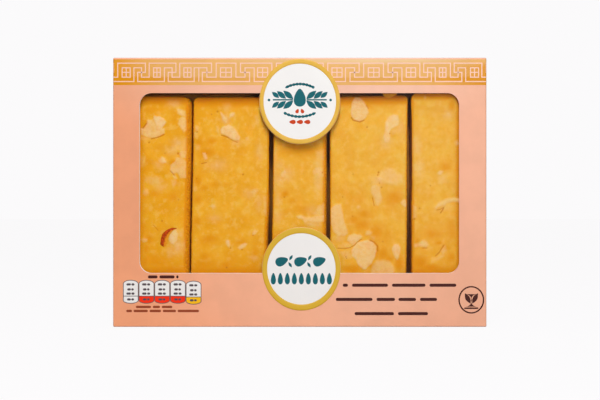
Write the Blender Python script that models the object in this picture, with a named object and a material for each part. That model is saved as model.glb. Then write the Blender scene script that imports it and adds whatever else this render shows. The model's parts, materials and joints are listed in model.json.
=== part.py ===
"""A shut carton of five almond cake slices, seen through its film window.

The frame is +Z up with the origin at the middle of the base. The window faces -Y.
The carton stands on its long lower edge, and the slices stand on end in a tray inside it.
"""

import math
import random

import bmesh
import bpy
from mathutils import Vector, noise

MM = 0.001

# Carton, outside
CARTON_WIDTH = 240 * MM
CARTON_DEPTH = 36 * MM
CARTON_HEIGHT = 173 * MM
BOARD = 0.6 * MM
FOLD_RADIUS = 1.1 * MM
EMBOSS_HEIGHT = 0.25 * MM

# Window in the front panel
WINDOW_HALF_WIDTH = 102.5 * MM
WINDOW_LOW = 34.8 * MM
WINDOW_HIGH = 150.2 * MM
WINDOW_CORNER = 7.5 * MM

# Oval badges, which reach over the window as tabs of the board: middle across, middle up,
# then half sizes of the tab and of the plain field inside its raised ring
TOP_BADGE = {
    "across": 0.0 * MM,
    "up": 144.9 * MM,
    "tab": (26.0 * MM, 27.5 * MM),
    "field": (23.3 * MM, 24.3 * MM),
}
LOW_BADGE = {
    "across": 1.0 * MM,
    "up": 37.3 * MM,
    "tab": (25.3 * MM, 26.9 * MM),
    "field": (22.0 * MM, 22.9 * MM),
}
RING_LEDGE = 0.3 * MM
OVAL_SIDES = 56

# Slits round the tucked end flaps, and the glued seam on the back
SLIT_WIDTH = 0.4 * MM
SLIT_DEPTH = 0.3 * MM
FLAP_INSET = 1.3 * MM
SEAM_UP = 2.2 * MM

# Clearances between pieces that touch in the real pack
GAP = 0.3 * MM
FILM_THICKNESS = 0.25 * MM
FILM_BORDER = 9 * MM
TRAY_GAP = 0.4 * MM
TRAY_WALL = 0.5 * MM
TRAY_RIM_DEPTH = 28 * MM
POCKET_HEAD = 154 * MM
POCKET_DRAFT = 2.5 * MM

# Cake slices
CAKE_THICKNESS = 29.3 * MM
CAKE_EDGE_RADIUS = 1.6 * MM
CAKE_RELIEF = 0.35 * MM
CAKE_WAVE = 0.35 * MM
RELIEF_SCALE = 11 * MM
CUT_SCALE = 38 * MM
POINTS_ACROSS = 10
LEVELS = 25

# Each slice at mid height: the edges of its glazed top, then of its underside, which the
# knife left a little wider or narrower; how far the base of each cut strays; its top end
SLICES = {
    "slice_1": {"glazed": (-117.9, -73.5), "under": (-117.9, -71.9), "lean": (0, -1.3), "top": 148.6},
    "slice_2": {"glazed": (-69.5, -20.6), "under": (-69.6, -19.4), "lean": (-1.3, -0.6), "top": 148.0},
    "slice_3": {"glazed": (-17.5, 16.0), "under": (-17.6, 17.9), "lean": (-1.3, -0.4), "top": 147.8},
    "slice_4": {"glazed": (19.6, 69.0), "under": (19.8, 69.7), "lean": (0, -0.8), "top": 148.3},
    "slice_5": {"glazed": (73.0, 117.9), "under": (73.7, 117.9), "lean": (0, 0), "top": 150.7},
}

# Almond flakes: across, up, length, width in mm, and turn in degrees, pointed end first
FLAKES = {
    "slice_1": (
        (-94.7, 125.5, 14.5, 8.5, 100),
        (-90.6, 131.7, 10.5, 8.2, -10),
        (-76.4, 130.3, 9.5, 4.6, 0),
        (-88.5, 107.4, 6.0, 5.0, 15),
        (-78.6, 102.0, 13.0, 9.4, 15),
        (-80.1, 57.8, 12.0, 7.0, 25),
    ),
    "slice_2": (
        (-49.2, 134.0, 8.0, 3.8, -25),
        (-44.7, 124.8, 14.0, 9.5, 115),
        (-61.5, 109.8, 6.0, 3.6, -20),
        (-46.3, 54.1, 5.5, 3.8, 10),
    ),
    "slice_3": (
        (-10.1, 99.1, 6.5, 4.5, 10),
        (10.4, 97.7, 11.0, 7.0, 0),
        (7.0, 69.9, 15.0, 7.0, 70),
    ),
    "slice_4": (
        (38.5, 138.9, 16.0, 11.0, 0),
        (59.2, 130.6, 12.5, 8.0, 205),
        (49.6, 86.2, 16.0, 7.0, 5),
        (25.8, 67.4, 21.0, 9.0, -10),
        (35.6, 57.0, 9.5, 5.6, 235),
        (41.6, 46.6, 18.0, 13.0, 205),
        (62.2, 48.6, 11.0, 5.4, 180),
        (53.4, 39.1, 15.0, 8.0, 100),
    ),
    "slice_5": (
        (95.5, 78.9, 15.5, 8.0, 60),
        (90.9, 99.4, 4.5, 3.4, 30),
        (96.4, 137.2, 4.5, 3.2, 80),
        (80.3, 53.3, 7.0, 4.0, 95),
    ),
}
FLAKE_PROUD = 0.35 * MM
FLAKE_CROWN = 0.2 * MM
FLAKE_ROOT = 1.0 * MM
FLAKE_SIDES = 12
FLAKE_TAPER = 0.28
FLAKE_ROOT_SHARE = 0.94
LOW_FLAKES = 2
LOW_FLAKE_SIZE = (10.0, 6.5)
LOW_FLAKE_HEIGHTS = (9.0, 24.0)

FRONT_Y = -CARTON_DEPTH / 2 + EMBOSS_HEIGHT
BACK_Y = CARTON_DEPTH / 2
FILM_FRONT_Y = FRONT_Y + BOARD + GAP
TRAY_BACK_Y = BACK_Y - BOARD - TRAY_GAP
CAKE_BACK_Y = TRAY_BACK_Y - TRAY_WALL - GAP
CAKE_TOP_Y = CAKE_BACK_Y - CAKE_THICKNESS
CAKE_FOOT_Z = BOARD + TRAY_GAP + TRAY_WALL + GAP


def clear_scene():
    """Removes what the startup scene holds."""
    for obj in list(bpy.data.objects):
        bpy.data.objects.remove(obj)


def material(name, colour, roughness, metallic=0.0, alpha=1.0):
    """A Principled material of one plain finish."""
    made = bpy.data.materials.new(name)
    made.use_nodes = True
    shader = made.node_tree.nodes["Principled BSDF"]
    shader.inputs["Base Color"].default_value = (*colour, 1)
    shader.inputs["Roughness"].default_value = roughness
    shader.inputs["Metallic"].default_value = metallic
    shader.inputs["Alpha"].default_value = alpha
    return made


def add_object(name, mesh_builder, finish=None):
    """An object from a bmesh, with its faces pointing outwards."""
    bmesh.ops.recalc_face_normals(mesh_builder, faces=mesh_builder.faces)
    mesh = bpy.data.meshes.new(name)
    mesh_builder.to_mesh(mesh)
    mesh_builder.free()
    obj = bpy.data.objects.new(name, mesh)
    bpy.context.scene.collection.objects.link(obj)
    if finish:
        mesh.materials.append(finish)
    return obj


def block(name, low, high, finish=None):
    """A box between two corners."""
    builder = bmesh.new()
    bmesh.ops.create_cube(builder, size=1)
    size = Vector(high) - Vector(low)
    middle = (Vector(high) + Vector(low)) / 2
    for vertex in builder.verts:
        vertex.co = Vector(a * b for a, b in zip(vertex.co, size)) + middle
    return add_object(name, builder, finish)


def drafted_block(name, low, high, low_drop, high_drop):
    """A box between two corners whose bottom and top fall away towards the back."""
    obj = block(name, low, high)
    middle = (Vector(high) + Vector(low)) / 2
    for vertex in obj.data.vertices:
        if vertex.co.y > middle.y:
            vertex.co.z -= high_drop if vertex.co.z > middle.z else low_drop
    return obj


def prism(name, outline, near, far):
    """A prism along Y between two depths, from an outline of (across, up) points."""
    builder = bmesh.new()
    rings = [[builder.verts.new((x, y, z)) for x, z in outline] for y in (near, far)]
    count = len(outline)
    for i in range(count):
        j = (i + 1) % count
        builder.faces.new((rings[0][i], rings[0][j], rings[1][j], rings[1][i]))
    builder.faces.new(rings[0])
    builder.faces.new(list(reversed(rings[1])))
    return add_object(name, builder)


def oval(badge, half_size, sides=OVAL_SIDES):
    """Outline of an oval about a badge's middle."""
    turns = [2 * math.pi * i / sides for i in range(sides)]
    return [
        (
            badge["across"] + half_size[0] * math.cos(turn),
            badge["up"] + half_size[1] * math.sin(turn),
        )
        for turn in turns
    ]


def rounded_window(corner_steps=7):
    """Outline of the window, a rectangle with round corners."""
    inner_x = WINDOW_HALF_WIDTH - WINDOW_CORNER
    corners = (
        (inner_x, WINDOW_HIGH - WINDOW_CORNER, 0),
        (-inner_x, WINDOW_HIGH - WINDOW_CORNER, 90),
        (-inner_x, WINDOW_LOW + WINDOW_CORNER, 180),
        (inner_x, WINDOW_LOW + WINDOW_CORNER, 270),
    )
    outline = []
    for x, z, start in corners:
        for step in range(corner_steps + 1):
            turn = math.radians(start + 90 * step / corner_steps)
            outline.append(
                (x + WINDOW_CORNER * math.cos(turn), z + WINDOW_CORNER * math.sin(turn))
            )
    return outline


def combine(obj, helpers, operation):
    """Cuts or joins helpers into obj with one Boolean on a collection, and removes them."""
    group = bpy.data.collections.new("helpers")
    bpy.context.scene.collection.children.link(group)
    for helper in helpers:
        bpy.context.scene.collection.objects.unlink(helper)
        group.objects.link(helper)
    boolean = obj.modifiers.new("combine", "BOOLEAN")
    boolean.operation = operation
    boolean.operand_type = "COLLECTION"
    boolean.collection = group
    boolean.solver = "EXACT"
    graph = bpy.context.evaluated_depsgraph_get()
    result = bpy.data.meshes.new_from_object(obj.evaluated_get(graph))
    obj.modifiers.clear()
    obj.data = result
    for helper in helpers:
        bpy.data.objects.remove(helper)
    bpy.data.collections.remove(group)
    return obj


def bevelled(obj, width, segments):
    """Rounds every edge of a block."""
    bevel = obj.modifiers.new("fold", "BEVEL")
    bevel.width = width
    bevel.segments = segments
    bevel.limit_method = "NONE"
    graph = bpy.context.evaluated_depsgraph_get()
    obj.data = bpy.data.meshes.new_from_object(obj.evaluated_get(graph))
    obj.modifiers.clear()
    return obj


def window_cutter():
    """The window's shape without the two tabs that carry the badges."""
    reach = 2 * MM
    near, far = FRONT_Y - reach, FRONT_Y + BOARD + reach
    cutter = prism("window_cutter", rounded_window(), near, far)
    tabs = [
        prism("tab", oval(badge, badge["tab"]), near - reach, far + reach)
        for badge in (TOP_BADGE, LOW_BADGE)
    ]
    return combine(cutter, tabs, "DIFFERENCE")


def raised_ring(badge):
    """The embossed ring round a badge, rooted in the board."""
    root = FRONT_Y + BOARD / 2
    outer = [size - RING_LEDGE for size in badge["tab"]]
    ring = prism("ring", oval(badge, outer), FRONT_Y - EMBOSS_HEIGHT, root)
    reach = 1 * MM
    hole = prism(
        "ring_hole",
        oval(badge, badge["field"]),
        FRONT_Y - EMBOSS_HEIGHT - reach,
        root + reach,
    )
    return combine(ring, [hole], "DIFFERENCE")


def slit_cutters():
    """Slits that show where each end flap is tucked in, and where the back is glued."""
    reach = 1 * MM
    half = CARTON_WIDTH / 2
    flap_front = FRONT_Y + FLAP_INSET
    flap_low, flap_high = FLAP_INSET, CARTON_HEIGHT - FLAP_INSET
    cutters = []
    for side in (-1, 1):
        x_span = sorted((side * (half - SLIT_DEPTH), side * (half + reach)))
        runs = (
            (flap_front, flap_front + SLIT_WIDTH, flap_low, flap_high),
            (flap_front + SLIT_WIDTH / 2, BACK_Y - FLAP_INSET, flap_low, flap_low + SLIT_WIDTH),
            (flap_front + SLIT_WIDTH / 2, BACK_Y - FLAP_INSET, flap_high - SLIT_WIDTH, flap_high),
        )
        for y_low, y_high, z_low, z_high in runs:
            low = (x_span[0], y_low, z_low)
            high = (x_span[1], y_high, z_high)
            cutters.append(block("slit", low, high))
    seam_half = half - 2 * FLAP_INSET
    cutters.append(
        block(
            "seam",
            (-seam_half, BACK_Y - SLIT_DEPTH, SEAM_UP),
            (seam_half, BACK_Y + reach, SEAM_UP + SLIT_WIDTH),
        )
    )
    return cutters


def make_carton(finish):
    """Folded board: a thin shell with the window, the tabs and their raised rings."""
    half = CARTON_WIDTH / 2
    carton = block("carton", (-half, FRONT_Y, 0), (half, BACK_Y, CARTON_HEIGHT))
    bevelled(carton, FOLD_RADIUS, 3)
    inside = block(
        "inside",
        (-half + BOARD, FRONT_Y + BOARD, BOARD),
        (half - BOARD, BACK_Y - BOARD, CARTON_HEIGHT - BOARD),
    )
    bevelled(inside, FOLD_RADIUS - BOARD, 1)
    combine(carton, [inside], "DIFFERENCE")
    combine(carton, [window_cutter()], "DIFFERENCE")
    combine(carton, slit_cutters(), "DIFFERENCE")
    combine(carton, [raised_ring(TOP_BADGE), raised_ring(LOW_BADGE)], "UNION")
    carton.data.materials.clear()
    carton.data.materials.append(finish)
    return carton


def make_film(finish):
    """Clear film, glued flat behind the front panel."""
    low = (-WINDOW_HALF_WIDTH - FILM_BORDER, FILM_FRONT_Y, WINDOW_LOW - FILM_BORDER)
    high = (
        WINDOW_HALF_WIDTH + FILM_BORDER,
        FILM_FRONT_Y + FILM_THICKNESS,
        WINDOW_HIGH + FILM_BORDER,
    )
    return block("window_film", low, high, finish)


def make_tray(finish):
    """Formed tray: one pocket for the slices, and a raised step that fills the head end."""
    half = CARTON_WIDTH / 2 - BOARD - TRAY_GAP
    foot, head = BOARD + TRAY_GAP, CARTON_HEIGHT - BOARD - TRAY_GAP
    rim_y = TRAY_BACK_Y - TRAY_RIM_DEPTH
    reach = 2 * MM
    tray = block("tray", (-half, rim_y, foot), (half, TRAY_BACK_Y, head))
    pocket = drafted_block(
        "pocket",
        (-half + TRAY_WALL, rim_y - reach, foot + TRAY_WALL),
        (half - TRAY_WALL, TRAY_BACK_Y - TRAY_WALL, POCKET_HEAD),
        low_drop=0,
        high_drop=POCKET_DRAFT,
    )
    step = drafted_block(
        "step",
        (-half + TRAY_WALL, rim_y + TRAY_WALL, POCKET_HEAD + TRAY_WALL),
        (half - TRAY_WALL, TRAY_BACK_Y + reach, head - TRAY_WALL),
        low_drop=POCKET_DRAFT,
        high_drop=0,
    )
    combine(tray, [pocket, step], "DIFFERENCE")
    tray.data.materials.clear()
    tray.data.materials.append(finish)
    return tray


def relief(x, z):
    """How far the cake's glazed top stands out of its mean plane, in metres."""
    point = Vector((x / RELIEF_SCALE, 0.0, z / RELIEF_SCALE))
    return CAKE_RELIEF * noise.noise(point)


def cut_wave(x, z):
    """How far a knife cut strays to the side."""
    return CAKE_WAVE * noise.noise(Vector((x / CUT_SCALE, 3.7, z / CUT_SCALE)))


def side_x(edge, shape, z, top_y, y):
    """Where a slice's left (0) or right (1) cut stands at a height and a depth."""
    middle = (CAKE_FOOT_Z + shape["top"] * MM) / 2
    lean = shape["lean"][edge] * MM * (middle - z) / middle
    share = (y - top_y) / (CAKE_BACK_Y - top_y)
    glazed, under = shape["glazed"][edge] * MM, shape["under"][edge] * MM
    return glazed + (under - glazed) * share + lean + cut_wave(glazed, z)


def section(shape, z, inset):
    """One closed ring of points round a slice at a height, drawn in by inset."""
    top_y = CAKE_TOP_Y + inset
    back_y = CAKE_BACK_Y - inset
    radius = CAKE_EDGE_RADIUS
    side_depths = [top_y + radius, (top_y + back_y) / 2, back_y]
    turns = [math.radians(turn) for turn in (30, 60)]
    left = [(side_x(0, shape, z, top_y, y) + inset, y) for y in reversed(side_depths)]
    right = [(side_x(1, shape, z, top_y, y) - inset, y) for y in side_depths]
    low, high = left[-1][0], right[0][0]
    ring = list(left)
    for turn in turns:
        ring.append((low + radius * (1 - math.cos(turn)), top_y + radius * (1 - math.sin(turn))))
    span = high - low - 2 * radius
    for i in range(POINTS_ACROSS):
        x = low + radius + span * i / (POINTS_ACROSS - 1)
        ring.append((x, top_y - relief(x, z)))
    for turn in reversed(turns):
        ring.append((high - radius * (1 - math.cos(turn)), top_y + radius * (1 - math.sin(turn))))
    ring += right
    return [(x, y, z) for x, y in ring]


def slice_body(name, shape):
    """A bar of sponge cake with a soft, uneven top and rounded cut edges."""
    foot, top = CAKE_FOOT_Z, shape["top"] * MM
    radius = CAKE_EDGE_RADIUS
    stations = [(foot, radius / 2), (foot + radius / 2, 0.0)]
    run = top - foot - radius * 1.5
    stations += [(foot + radius / 2 + run * i / LEVELS, 0.0) for i in range(1, LEVELS + 1)]
    for turn in (45, 90):
        angle = math.radians(turn)
        height = top - radius + radius * math.sin(angle)
        stations.append((height, radius * (1 - math.cos(angle)) * 0.9))
    builder = bmesh.new()
    rings = [
        [builder.verts.new(point) for point in section(shape, z, inset)]
        for z, inset in stations
    ]
    count = len(rings[0])
    for low, high in zip(rings, rings[1:]):
        for i in range(count):
            j = (i + 1) % count
            builder.faces.new((low[i], low[j], high[j], high[i]))
    builder.faces.new(list(reversed(rings[0])))
    builder.faces.new(rings[-1])
    return add_object(name, builder)


def flake(across, up, length, width, turn):
    """A flake of almond: a thin drop-shaped plate, crowned and rooted in the cake."""
    centre = Vector((across * MM, 0, up * MM))
    angle = math.radians(turn)
    along = Vector((math.sin(angle), 0, math.cos(angle)))
    aside = Vector((math.cos(angle), 0, -math.sin(angle)))
    surface = CAKE_TOP_Y - relief(centre.x, centre.z)
    builder = bmesh.new()
    rings = []
    for depth, share in ((surface - FLAKE_PROUD, 1.0), (surface + FLAKE_ROOT, FLAKE_ROOT_SHARE)):
        ring = []
        for i in range(FLAKE_SIDES):
            turned = 2 * math.pi * i / FLAKE_SIDES
            pinch = 1 - FLAKE_TAPER * math.cos(turned)
            reach = along * (length / 2 * MM * math.cos(turned))
            spread = aside * (width / 2 * MM * math.sin(turned) * pinch)
            point = centre + (reach + spread) * share
            ring.append(builder.verts.new((point.x, depth, point.z)))
        rings.append(ring)
    crown = builder.verts.new((centre.x, surface - FLAKE_PROUD - FLAKE_CROWN, centre.z))
    for i in range(FLAKE_SIDES):
        j = (i + 1) % FLAKE_SIDES
        builder.faces.new((rings[0][i], rings[0][j], rings[1][j], rings[1][i]))
        builder.faces.new((rings[0][j], rings[0][i], crown))
    builder.faces.new(rings[1])
    return add_object("flake", builder)


def low_flakes(shape, draw):
    """Flakes of the stretch below the window, one in each half of its width."""
    length, width = LOW_FLAKE_SIZE
    left, right = shape["glazed"]
    found = []
    for i in range(LOW_FLAKES):
        across = left + (right - left) * (i + draw.uniform(0.4, 0.6)) / LOW_FLAKES
        up = draw.uniform(*LOW_FLAKE_HEIGHTS)
        found.append((across, up, length, width, draw.uniform(0, 180)))
    return found


def make_slice(name, finish, draw):
    """A slice with its almond flakes fused to it."""
    shape = SLICES[name]
    body = slice_body(name, shape)
    places = FLAKES[name] + tuple(low_flakes(shape, draw))
    combine(body, [flake(*place) for place in places], "UNION")
    body.data.materials.clear()
    body.data.materials.append(finish)
    return body


def main():
    clear_scene()
    board = material("printed_board", (0.83, 0.38, 0.22), 0.5)
    film = material("clear_film", (0.95, 0.95, 0.95), 0.1, alpha=0.15)
    plastic = material("brown_plastic", (0.42, 0.2, 0.075), 0.45)
    cake = material("glazed_almond_cake", (0.84, 0.39, 0.04), 0.45)
    draw = random.Random(5)
    make_carton(board)
    make_film(film)
    make_tray(plastic)
    for name in SLICES:
        make_slice(name, cake, draw)


main()
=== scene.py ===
# %% [markdown]
# # A windowed carton of almond cake slices
#
# The object is a shut shop carton: folded board, printed pink with a gold band, and a window
# of clear film. Five bars of glazed almond cake show through it, in a brown plastic tray.
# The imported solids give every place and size, and this script gives the pieces their looks.
# It works from the outside in: board, print, film and tray first, then the cake, which fills
# the window and needs the most care.

import json
import math
import random
from collections import namedtuple

import bmesh
import bpy
import numpy as np
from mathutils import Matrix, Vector, noise

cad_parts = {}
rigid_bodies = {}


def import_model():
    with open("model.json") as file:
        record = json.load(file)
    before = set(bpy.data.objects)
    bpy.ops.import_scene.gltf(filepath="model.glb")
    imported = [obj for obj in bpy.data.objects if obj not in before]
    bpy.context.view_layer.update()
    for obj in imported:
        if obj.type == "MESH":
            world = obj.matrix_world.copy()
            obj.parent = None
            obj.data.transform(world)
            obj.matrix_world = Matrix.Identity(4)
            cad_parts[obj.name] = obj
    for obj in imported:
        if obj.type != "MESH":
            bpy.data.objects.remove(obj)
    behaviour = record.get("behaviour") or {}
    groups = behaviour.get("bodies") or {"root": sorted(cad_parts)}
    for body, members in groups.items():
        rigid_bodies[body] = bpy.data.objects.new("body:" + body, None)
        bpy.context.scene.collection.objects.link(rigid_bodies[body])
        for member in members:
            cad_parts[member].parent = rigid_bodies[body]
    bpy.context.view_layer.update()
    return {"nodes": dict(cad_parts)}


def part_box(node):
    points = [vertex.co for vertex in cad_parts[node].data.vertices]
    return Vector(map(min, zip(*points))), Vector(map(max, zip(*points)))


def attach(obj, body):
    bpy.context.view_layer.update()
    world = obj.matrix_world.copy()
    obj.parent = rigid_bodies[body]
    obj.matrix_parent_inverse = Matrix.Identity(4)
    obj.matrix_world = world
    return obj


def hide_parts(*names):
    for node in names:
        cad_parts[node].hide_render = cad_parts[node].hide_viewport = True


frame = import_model()
MM = 0.001
print("solids:", ", ".join(sorted(frame["nodes"])))

# %% [markdown]
# ## Sizes that everything else hangs on
#
# A carton is made from one sheet, so a few numbers settle most of it: the outside box, the
# thickness of the board, and the depth at which the front panel lies. The outside box and the
# window are read from the solids. The board's thickness and the badges are the same named
# sizes that the solids were made from. The window's small shift is read off the photograph.

# %% Sizes of the carton
carton_low, carton_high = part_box("carton")
HALF_WIDTH = carton_high.x
HEIGHT = carton_high.z
BACK_Y = carton_high.y
EMBOSS_HEIGHT = 0.25 * MM
FRONT_Y = carton_low.y + EMBOSS_HEIGHT
BOARD = 0.6 * MM
FOLD_RADIUS = 0.75 * MM

film_low, film_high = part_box("window_film")
FILM_BORDER = 9 * MM
FILM_RAISED = 0.2 * MM
WINDOW_HALF_WIDTH = film_high.x - FILM_BORDER
WINDOW_LOW = film_low.z + FILM_BORDER - FILM_RAISED
WINDOW_HIGH = film_high.z - FILM_BORDER - FILM_RAISED
WINDOW_CORNER = 7.5 * MM
WINDOW_ACROSS = -0.25 * MM
WINDOW_UP = 0.08 * MM

Badge = namedtuple("Badge", "across up tab field")
TOP_BADGE = Badge(0.0, 144.9 * MM, (26.0 * MM, 27.5 * MM), (23.3 * MM, 24.3 * MM))
LOW_BADGE = Badge(1.0 * MM, 37.3 * MM, (25.3 * MM, 26.9 * MM), (22.0 * MM, 22.9 * MM))
print("front panel at y =", round(FRONT_Y / MM, 2), "mm, window from", round(WINDOW_LOW / MM, 1),
      "to", round(WINDOW_HIGH / MM, 1), "mm up")

# %% [markdown]
# ## The camera
#
# The photograph looks straight at the front, with a long lens: the upright edges stay upright
# and no side panel shows. A long lens needs a distance that fits the picture, and that comes
# from the width of one pixel on the front panel. The camera looks level, from the height of the
# picture's middle, because a tilted camera would make the carton taper.

# %% Camera
PICTURE_WIDTH_PX = 600
PICTURE_MIDDLE_PX = (300, 200)
MIDLINE_PX = 299.8
FOOT_PX = 326.9
MM_PER_PX = 0.6427
LENS_MM = 100
SENSOR_MM = 36


def at_pixel(across_px, down_px):
    """Where a pixel of the photograph falls on the front panel, as (across, up) in metres."""
    return ((across_px - MIDLINE_PX) * MM_PER_PX * MM, (FOOT_PX - down_px) * MM_PER_PX * MM)


def put_in_scene(name, data):
    """A new object in the scene for a mesh, a light or a camera."""
    placed = bpy.data.objects.new(name, data)
    bpy.context.scene.collection.objects.link(placed)
    return placed


camera_data = bpy.data.cameras.new("camera")
camera_data.lens = LENS_MM
camera_data.sensor_width = SENSOR_MM
camera = put_in_scene("camera", camera_data)
camera_x, camera_z = at_pixel(*PICTURE_MIDDLE_PX)
camera_distance = PICTURE_WIDTH_PX * MM_PER_PX * MM * LENS_MM / SENSOR_MM
camera.location = (camera_x, FRONT_Y - camera_distance, camera_z)
camera.rotation_euler = (math.radians(90), 0, 0)
bpy.context.scene.camera = camera
print("camera", round(camera_distance, 3), "m in front of the panel")

# %% [markdown]
# ## Studio
#
# The photograph has a bare white background and two lights. One stands high in front: the
# badge throws a short shadow straight down, and the window's upper edge shades the top of the
# cake. It is narrow from side to side, so that it reaches down into the slots between the
# slices, and tall, so that the shadows are soft. The other is a wide soft box to the right of
# the camera. The varnish mirrors it only a little: the right half of the carton is paler
# mostly from a painted sheen in the inks and the glaze.
# The floor and the background glow a little by themselves, so that they stay white without
# flooding the carton with light. The Standard view transform keeps the colours as they are.

# %% World and floor
BACKGROUND = (0.965, 0.957, 0.965, 1)
AMBIENT = (1.0, 0.9, 0.8, 1)
AMBIENT_STRENGTH = 0.18
FLOOR_REACH = 6.0
FLOOR_GREY = (0.42, 0.42, 0.42, 1)
FLOOR_GLOW = 0.93
GLOW_STRENGTH = 1.055


def fill_inputs(tree, node, values):
    """Gives a node's inputs fixed values, or links where a value is itself a socket."""
    for label, value in values.items():
        if isinstance(value, bpy.types.NodeSocket):
            tree.links.new(value, node.inputs[label])
        else:
            node.inputs[label].default_value = value


def add_node(tree, kind, values, **settings):
    """A new node with its settings made and its inputs filled, by name or by number."""
    node = tree.nodes.new(kind)
    for setting, value in settings.items():
        setattr(node, setting, value)
    fill_inputs(tree, node, values)
    return node


def show_to_camera(tree, hidden, shown, share, output):
    """Gives the camera the shown shader, by a share, and gives bounced light the hidden one."""
    path = tree.nodes.new("ShaderNodeLightPath")
    seen = {0: path.outputs["Is Camera Ray"], 1: share}
    seen_share = add_node(tree, "ShaderNodeMath", seen, operation="MULTIPLY").outputs[0]
    shaders = {"Fac": seen_share, 1: hidden.outputs[0], 2: shown.outputs[0]}
    mixed = add_node(tree, "ShaderNodeMixShader", shaders).outputs[0]
    tree.links.new(mixed, output.inputs["Surface"])


bpy.context.scene.view_settings.view_transform = "Standard"
world = bpy.data.worlds.new("white_studio")
bpy.context.scene.world = world
world.use_nodes = True
sky_tree = world.node_tree
soft_sky = sky_tree.nodes["Background"]
fill_inputs(sky_tree, soft_sky, {"Color": AMBIENT, "Strength": AMBIENT_STRENGTH})
white_sky = add_node(sky_tree, "ShaderNodeBackground", {"Color": BACKGROUND})
show_to_camera(sky_tree, soft_sky, white_sky, 1.0, sky_tree.nodes["World Output"])

floor_paint = bpy.data.materials.new("white_floor")
floor_paint.use_nodes = True
floor_tree = floor_paint.node_tree
floor_tree.nodes.remove(floor_tree.nodes["Principled BSDF"])
matt = add_node(floor_tree, "ShaderNodeBsdfDiffuse", {"Color": FLOOR_GREY})
glow = add_node(floor_tree, "ShaderNodeEmission", {"Color": BACKGROUND, "Strength": GLOW_STRENGTH})
show_to_camera(floor_tree, matt, glow, FLOOR_GLOW, floor_tree.nodes["Material Output"])

floor_mesh = bpy.data.meshes.new("floor")
floor_corners = [(x * FLOOR_REACH, y * FLOOR_REACH, 0) for x, y in ((-1, -1), (1, -1), (1, 1), (-1, 1))]
floor_mesh.from_pydata(floor_corners, [], [(0, 1, 2, 3)])
floor_mesh.materials.append(floor_paint)
floor = put_in_scene("floor", floor_mesh)
print("floor reaches", FLOOR_REACH, "m each way")

# %% Lights
PANEL_MIDDLE = Vector((0, FRONT_Y, HEIGHT / 2))
LIGHT_COLOUR = (0.98, 1.0, 1.03)


def add_light(name, azimuth, elevation, distance, size, watts):
    """A soft box that faces the front panel, placed by its angles as seen from the panel."""
    data = bpy.data.lights.new(name, "AREA")
    data.shape = "RECTANGLE"
    data.size, data.size_y = size
    data.energy = watts
    data.color = LIGHT_COLOUR
    light = put_in_scene(name, data)
    turn, rise = math.radians(azimuth), math.radians(elevation)
    away = Vector((math.sin(turn) * math.cos(rise), -math.cos(turn) * math.cos(rise), math.sin(rise)))
    light.location = PANEL_MIDDLE + away * distance
    light.rotation_euler = (-away).to_track_quat("-Z", "Y").to_euler()
    print(name, "at", [round(v, 2) for v in light.location])


add_light("high_front_light", -1.5, 45, 1.4, (0.2, 0.8), 15.2)
add_light("right_soft_box", 13, 4, 1.55, (0.6, 0.7), 6.8)

# %% [markdown]
# ## Small helpers
#
# Colours are read from the photograph as 8-bit screen values, and shaders want linear light,
# so each goes through one conversion. Each step of a finish is a node, so each kind of node
# gets a short function in plain words. The last helpers make meshes from what was modelled,
# and link each piece into the scene on its body.

# %% Colour and node helpers
COLOUR_A, COLOUR_B, COLOUR_RESULT = 6, 7, 2


def srgb(red, green, blue):
    """An 8-bit screen colour as the linear colour that shaders use."""
    shares = [level / 255 for level in (red, green, blue)]
    linear = [s / 12.92 if s <= 0.04045 else ((s + 0.055) / 1.055) ** 2.4 for s in shares]
    return (*linear, 1.0)


def scaled(colour, factor):
    """A colour made darker or lighter."""
    return (*(level * factor for level in colour[:3]), 1.0)


def blend(tree, share, first, second, blend_type="MIX"):
    """Mixes two colours by a share from 0 to 1."""
    values = {"Factor": share, COLOUR_A: first, COLOUR_B: second}
    mix = add_node(tree, "ShaderNodeMix", values, data_type="RGBA", blend_type=blend_type)
    return mix.outputs[COLOUR_RESULT]


def maths(tree, operation, first, second=0.0):
    """One step of arithmetic on values or sockets."""
    return add_node(tree, "ShaderNodeMath", {0: first, 1: second}, operation=operation).outputs[0]


def across_and_up(tree, place):
    """The two coordinates that lie in the front panel."""
    parts = add_node(tree, "ShaderNodeSeparateXYZ", {0: place})
    return parts.outputs["X"], parts.outputs["Z"]


def grain(tree, place, size, detail=2.0, roughness=0.5, distortion=0.0):
    """Noise whose lumps have a real size in metres, from 0 to 1."""
    values = {"Vector": place, "Scale": 1 / size, "Detail": detail,
              "Roughness": roughness, "Distortion": distortion}
    return add_node(tree, "ShaderNodeTexNoise", values).outputs["Fac"]


def ranged(tree, value, low, high, to_low=0.0, to_high=1.0):
    """Stretches a value from one range to another, smoothly and clamped."""
    values = {"Value": value, "From Min": low, "From Max": high, "To Min": to_low, "To Max": to_high}
    return add_node(tree, "ShaderNodeMapRange", values, interpolation_type="SMOOTHSTEP").outputs["Result"]


def bumped(tree, height, depth, **under):
    """A bump of a real depth in metres, on top of another one where Normal is given."""
    values = {"Strength": 1.0, "Distance": depth, "Height": height, **under}
    return add_node(tree, "ShaderNodeBump", values).outputs["Normal"]


def start_finish(name):
    """A new material with its node tree, its shader and object coordinates."""
    finish = bpy.data.materials.new(name)
    finish.use_nodes = True
    tree = finish.node_tree
    place = tree.nodes.new("ShaderNodeTexCoord").outputs["Object"]
    return finish, tree, tree.nodes["Principled BSDF"], place


# %% Piece helpers
def add_piece(name, mesh, finishes, replaced=()):
    """Links a finished mesh, gives it its finishes, hangs it on the root body and hides what it replaces."""
    piece = put_in_scene(name, mesh)
    for finish in finishes:
        mesh.materials.append(finish)
    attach(piece, "root")
    if replaced:
        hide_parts(*replaced)
    size = [round(side / MM, 1) for side in piece.dimensions]
    print(f"{name}: {len(mesh.polygons)} faces, {size} mm")


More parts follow.
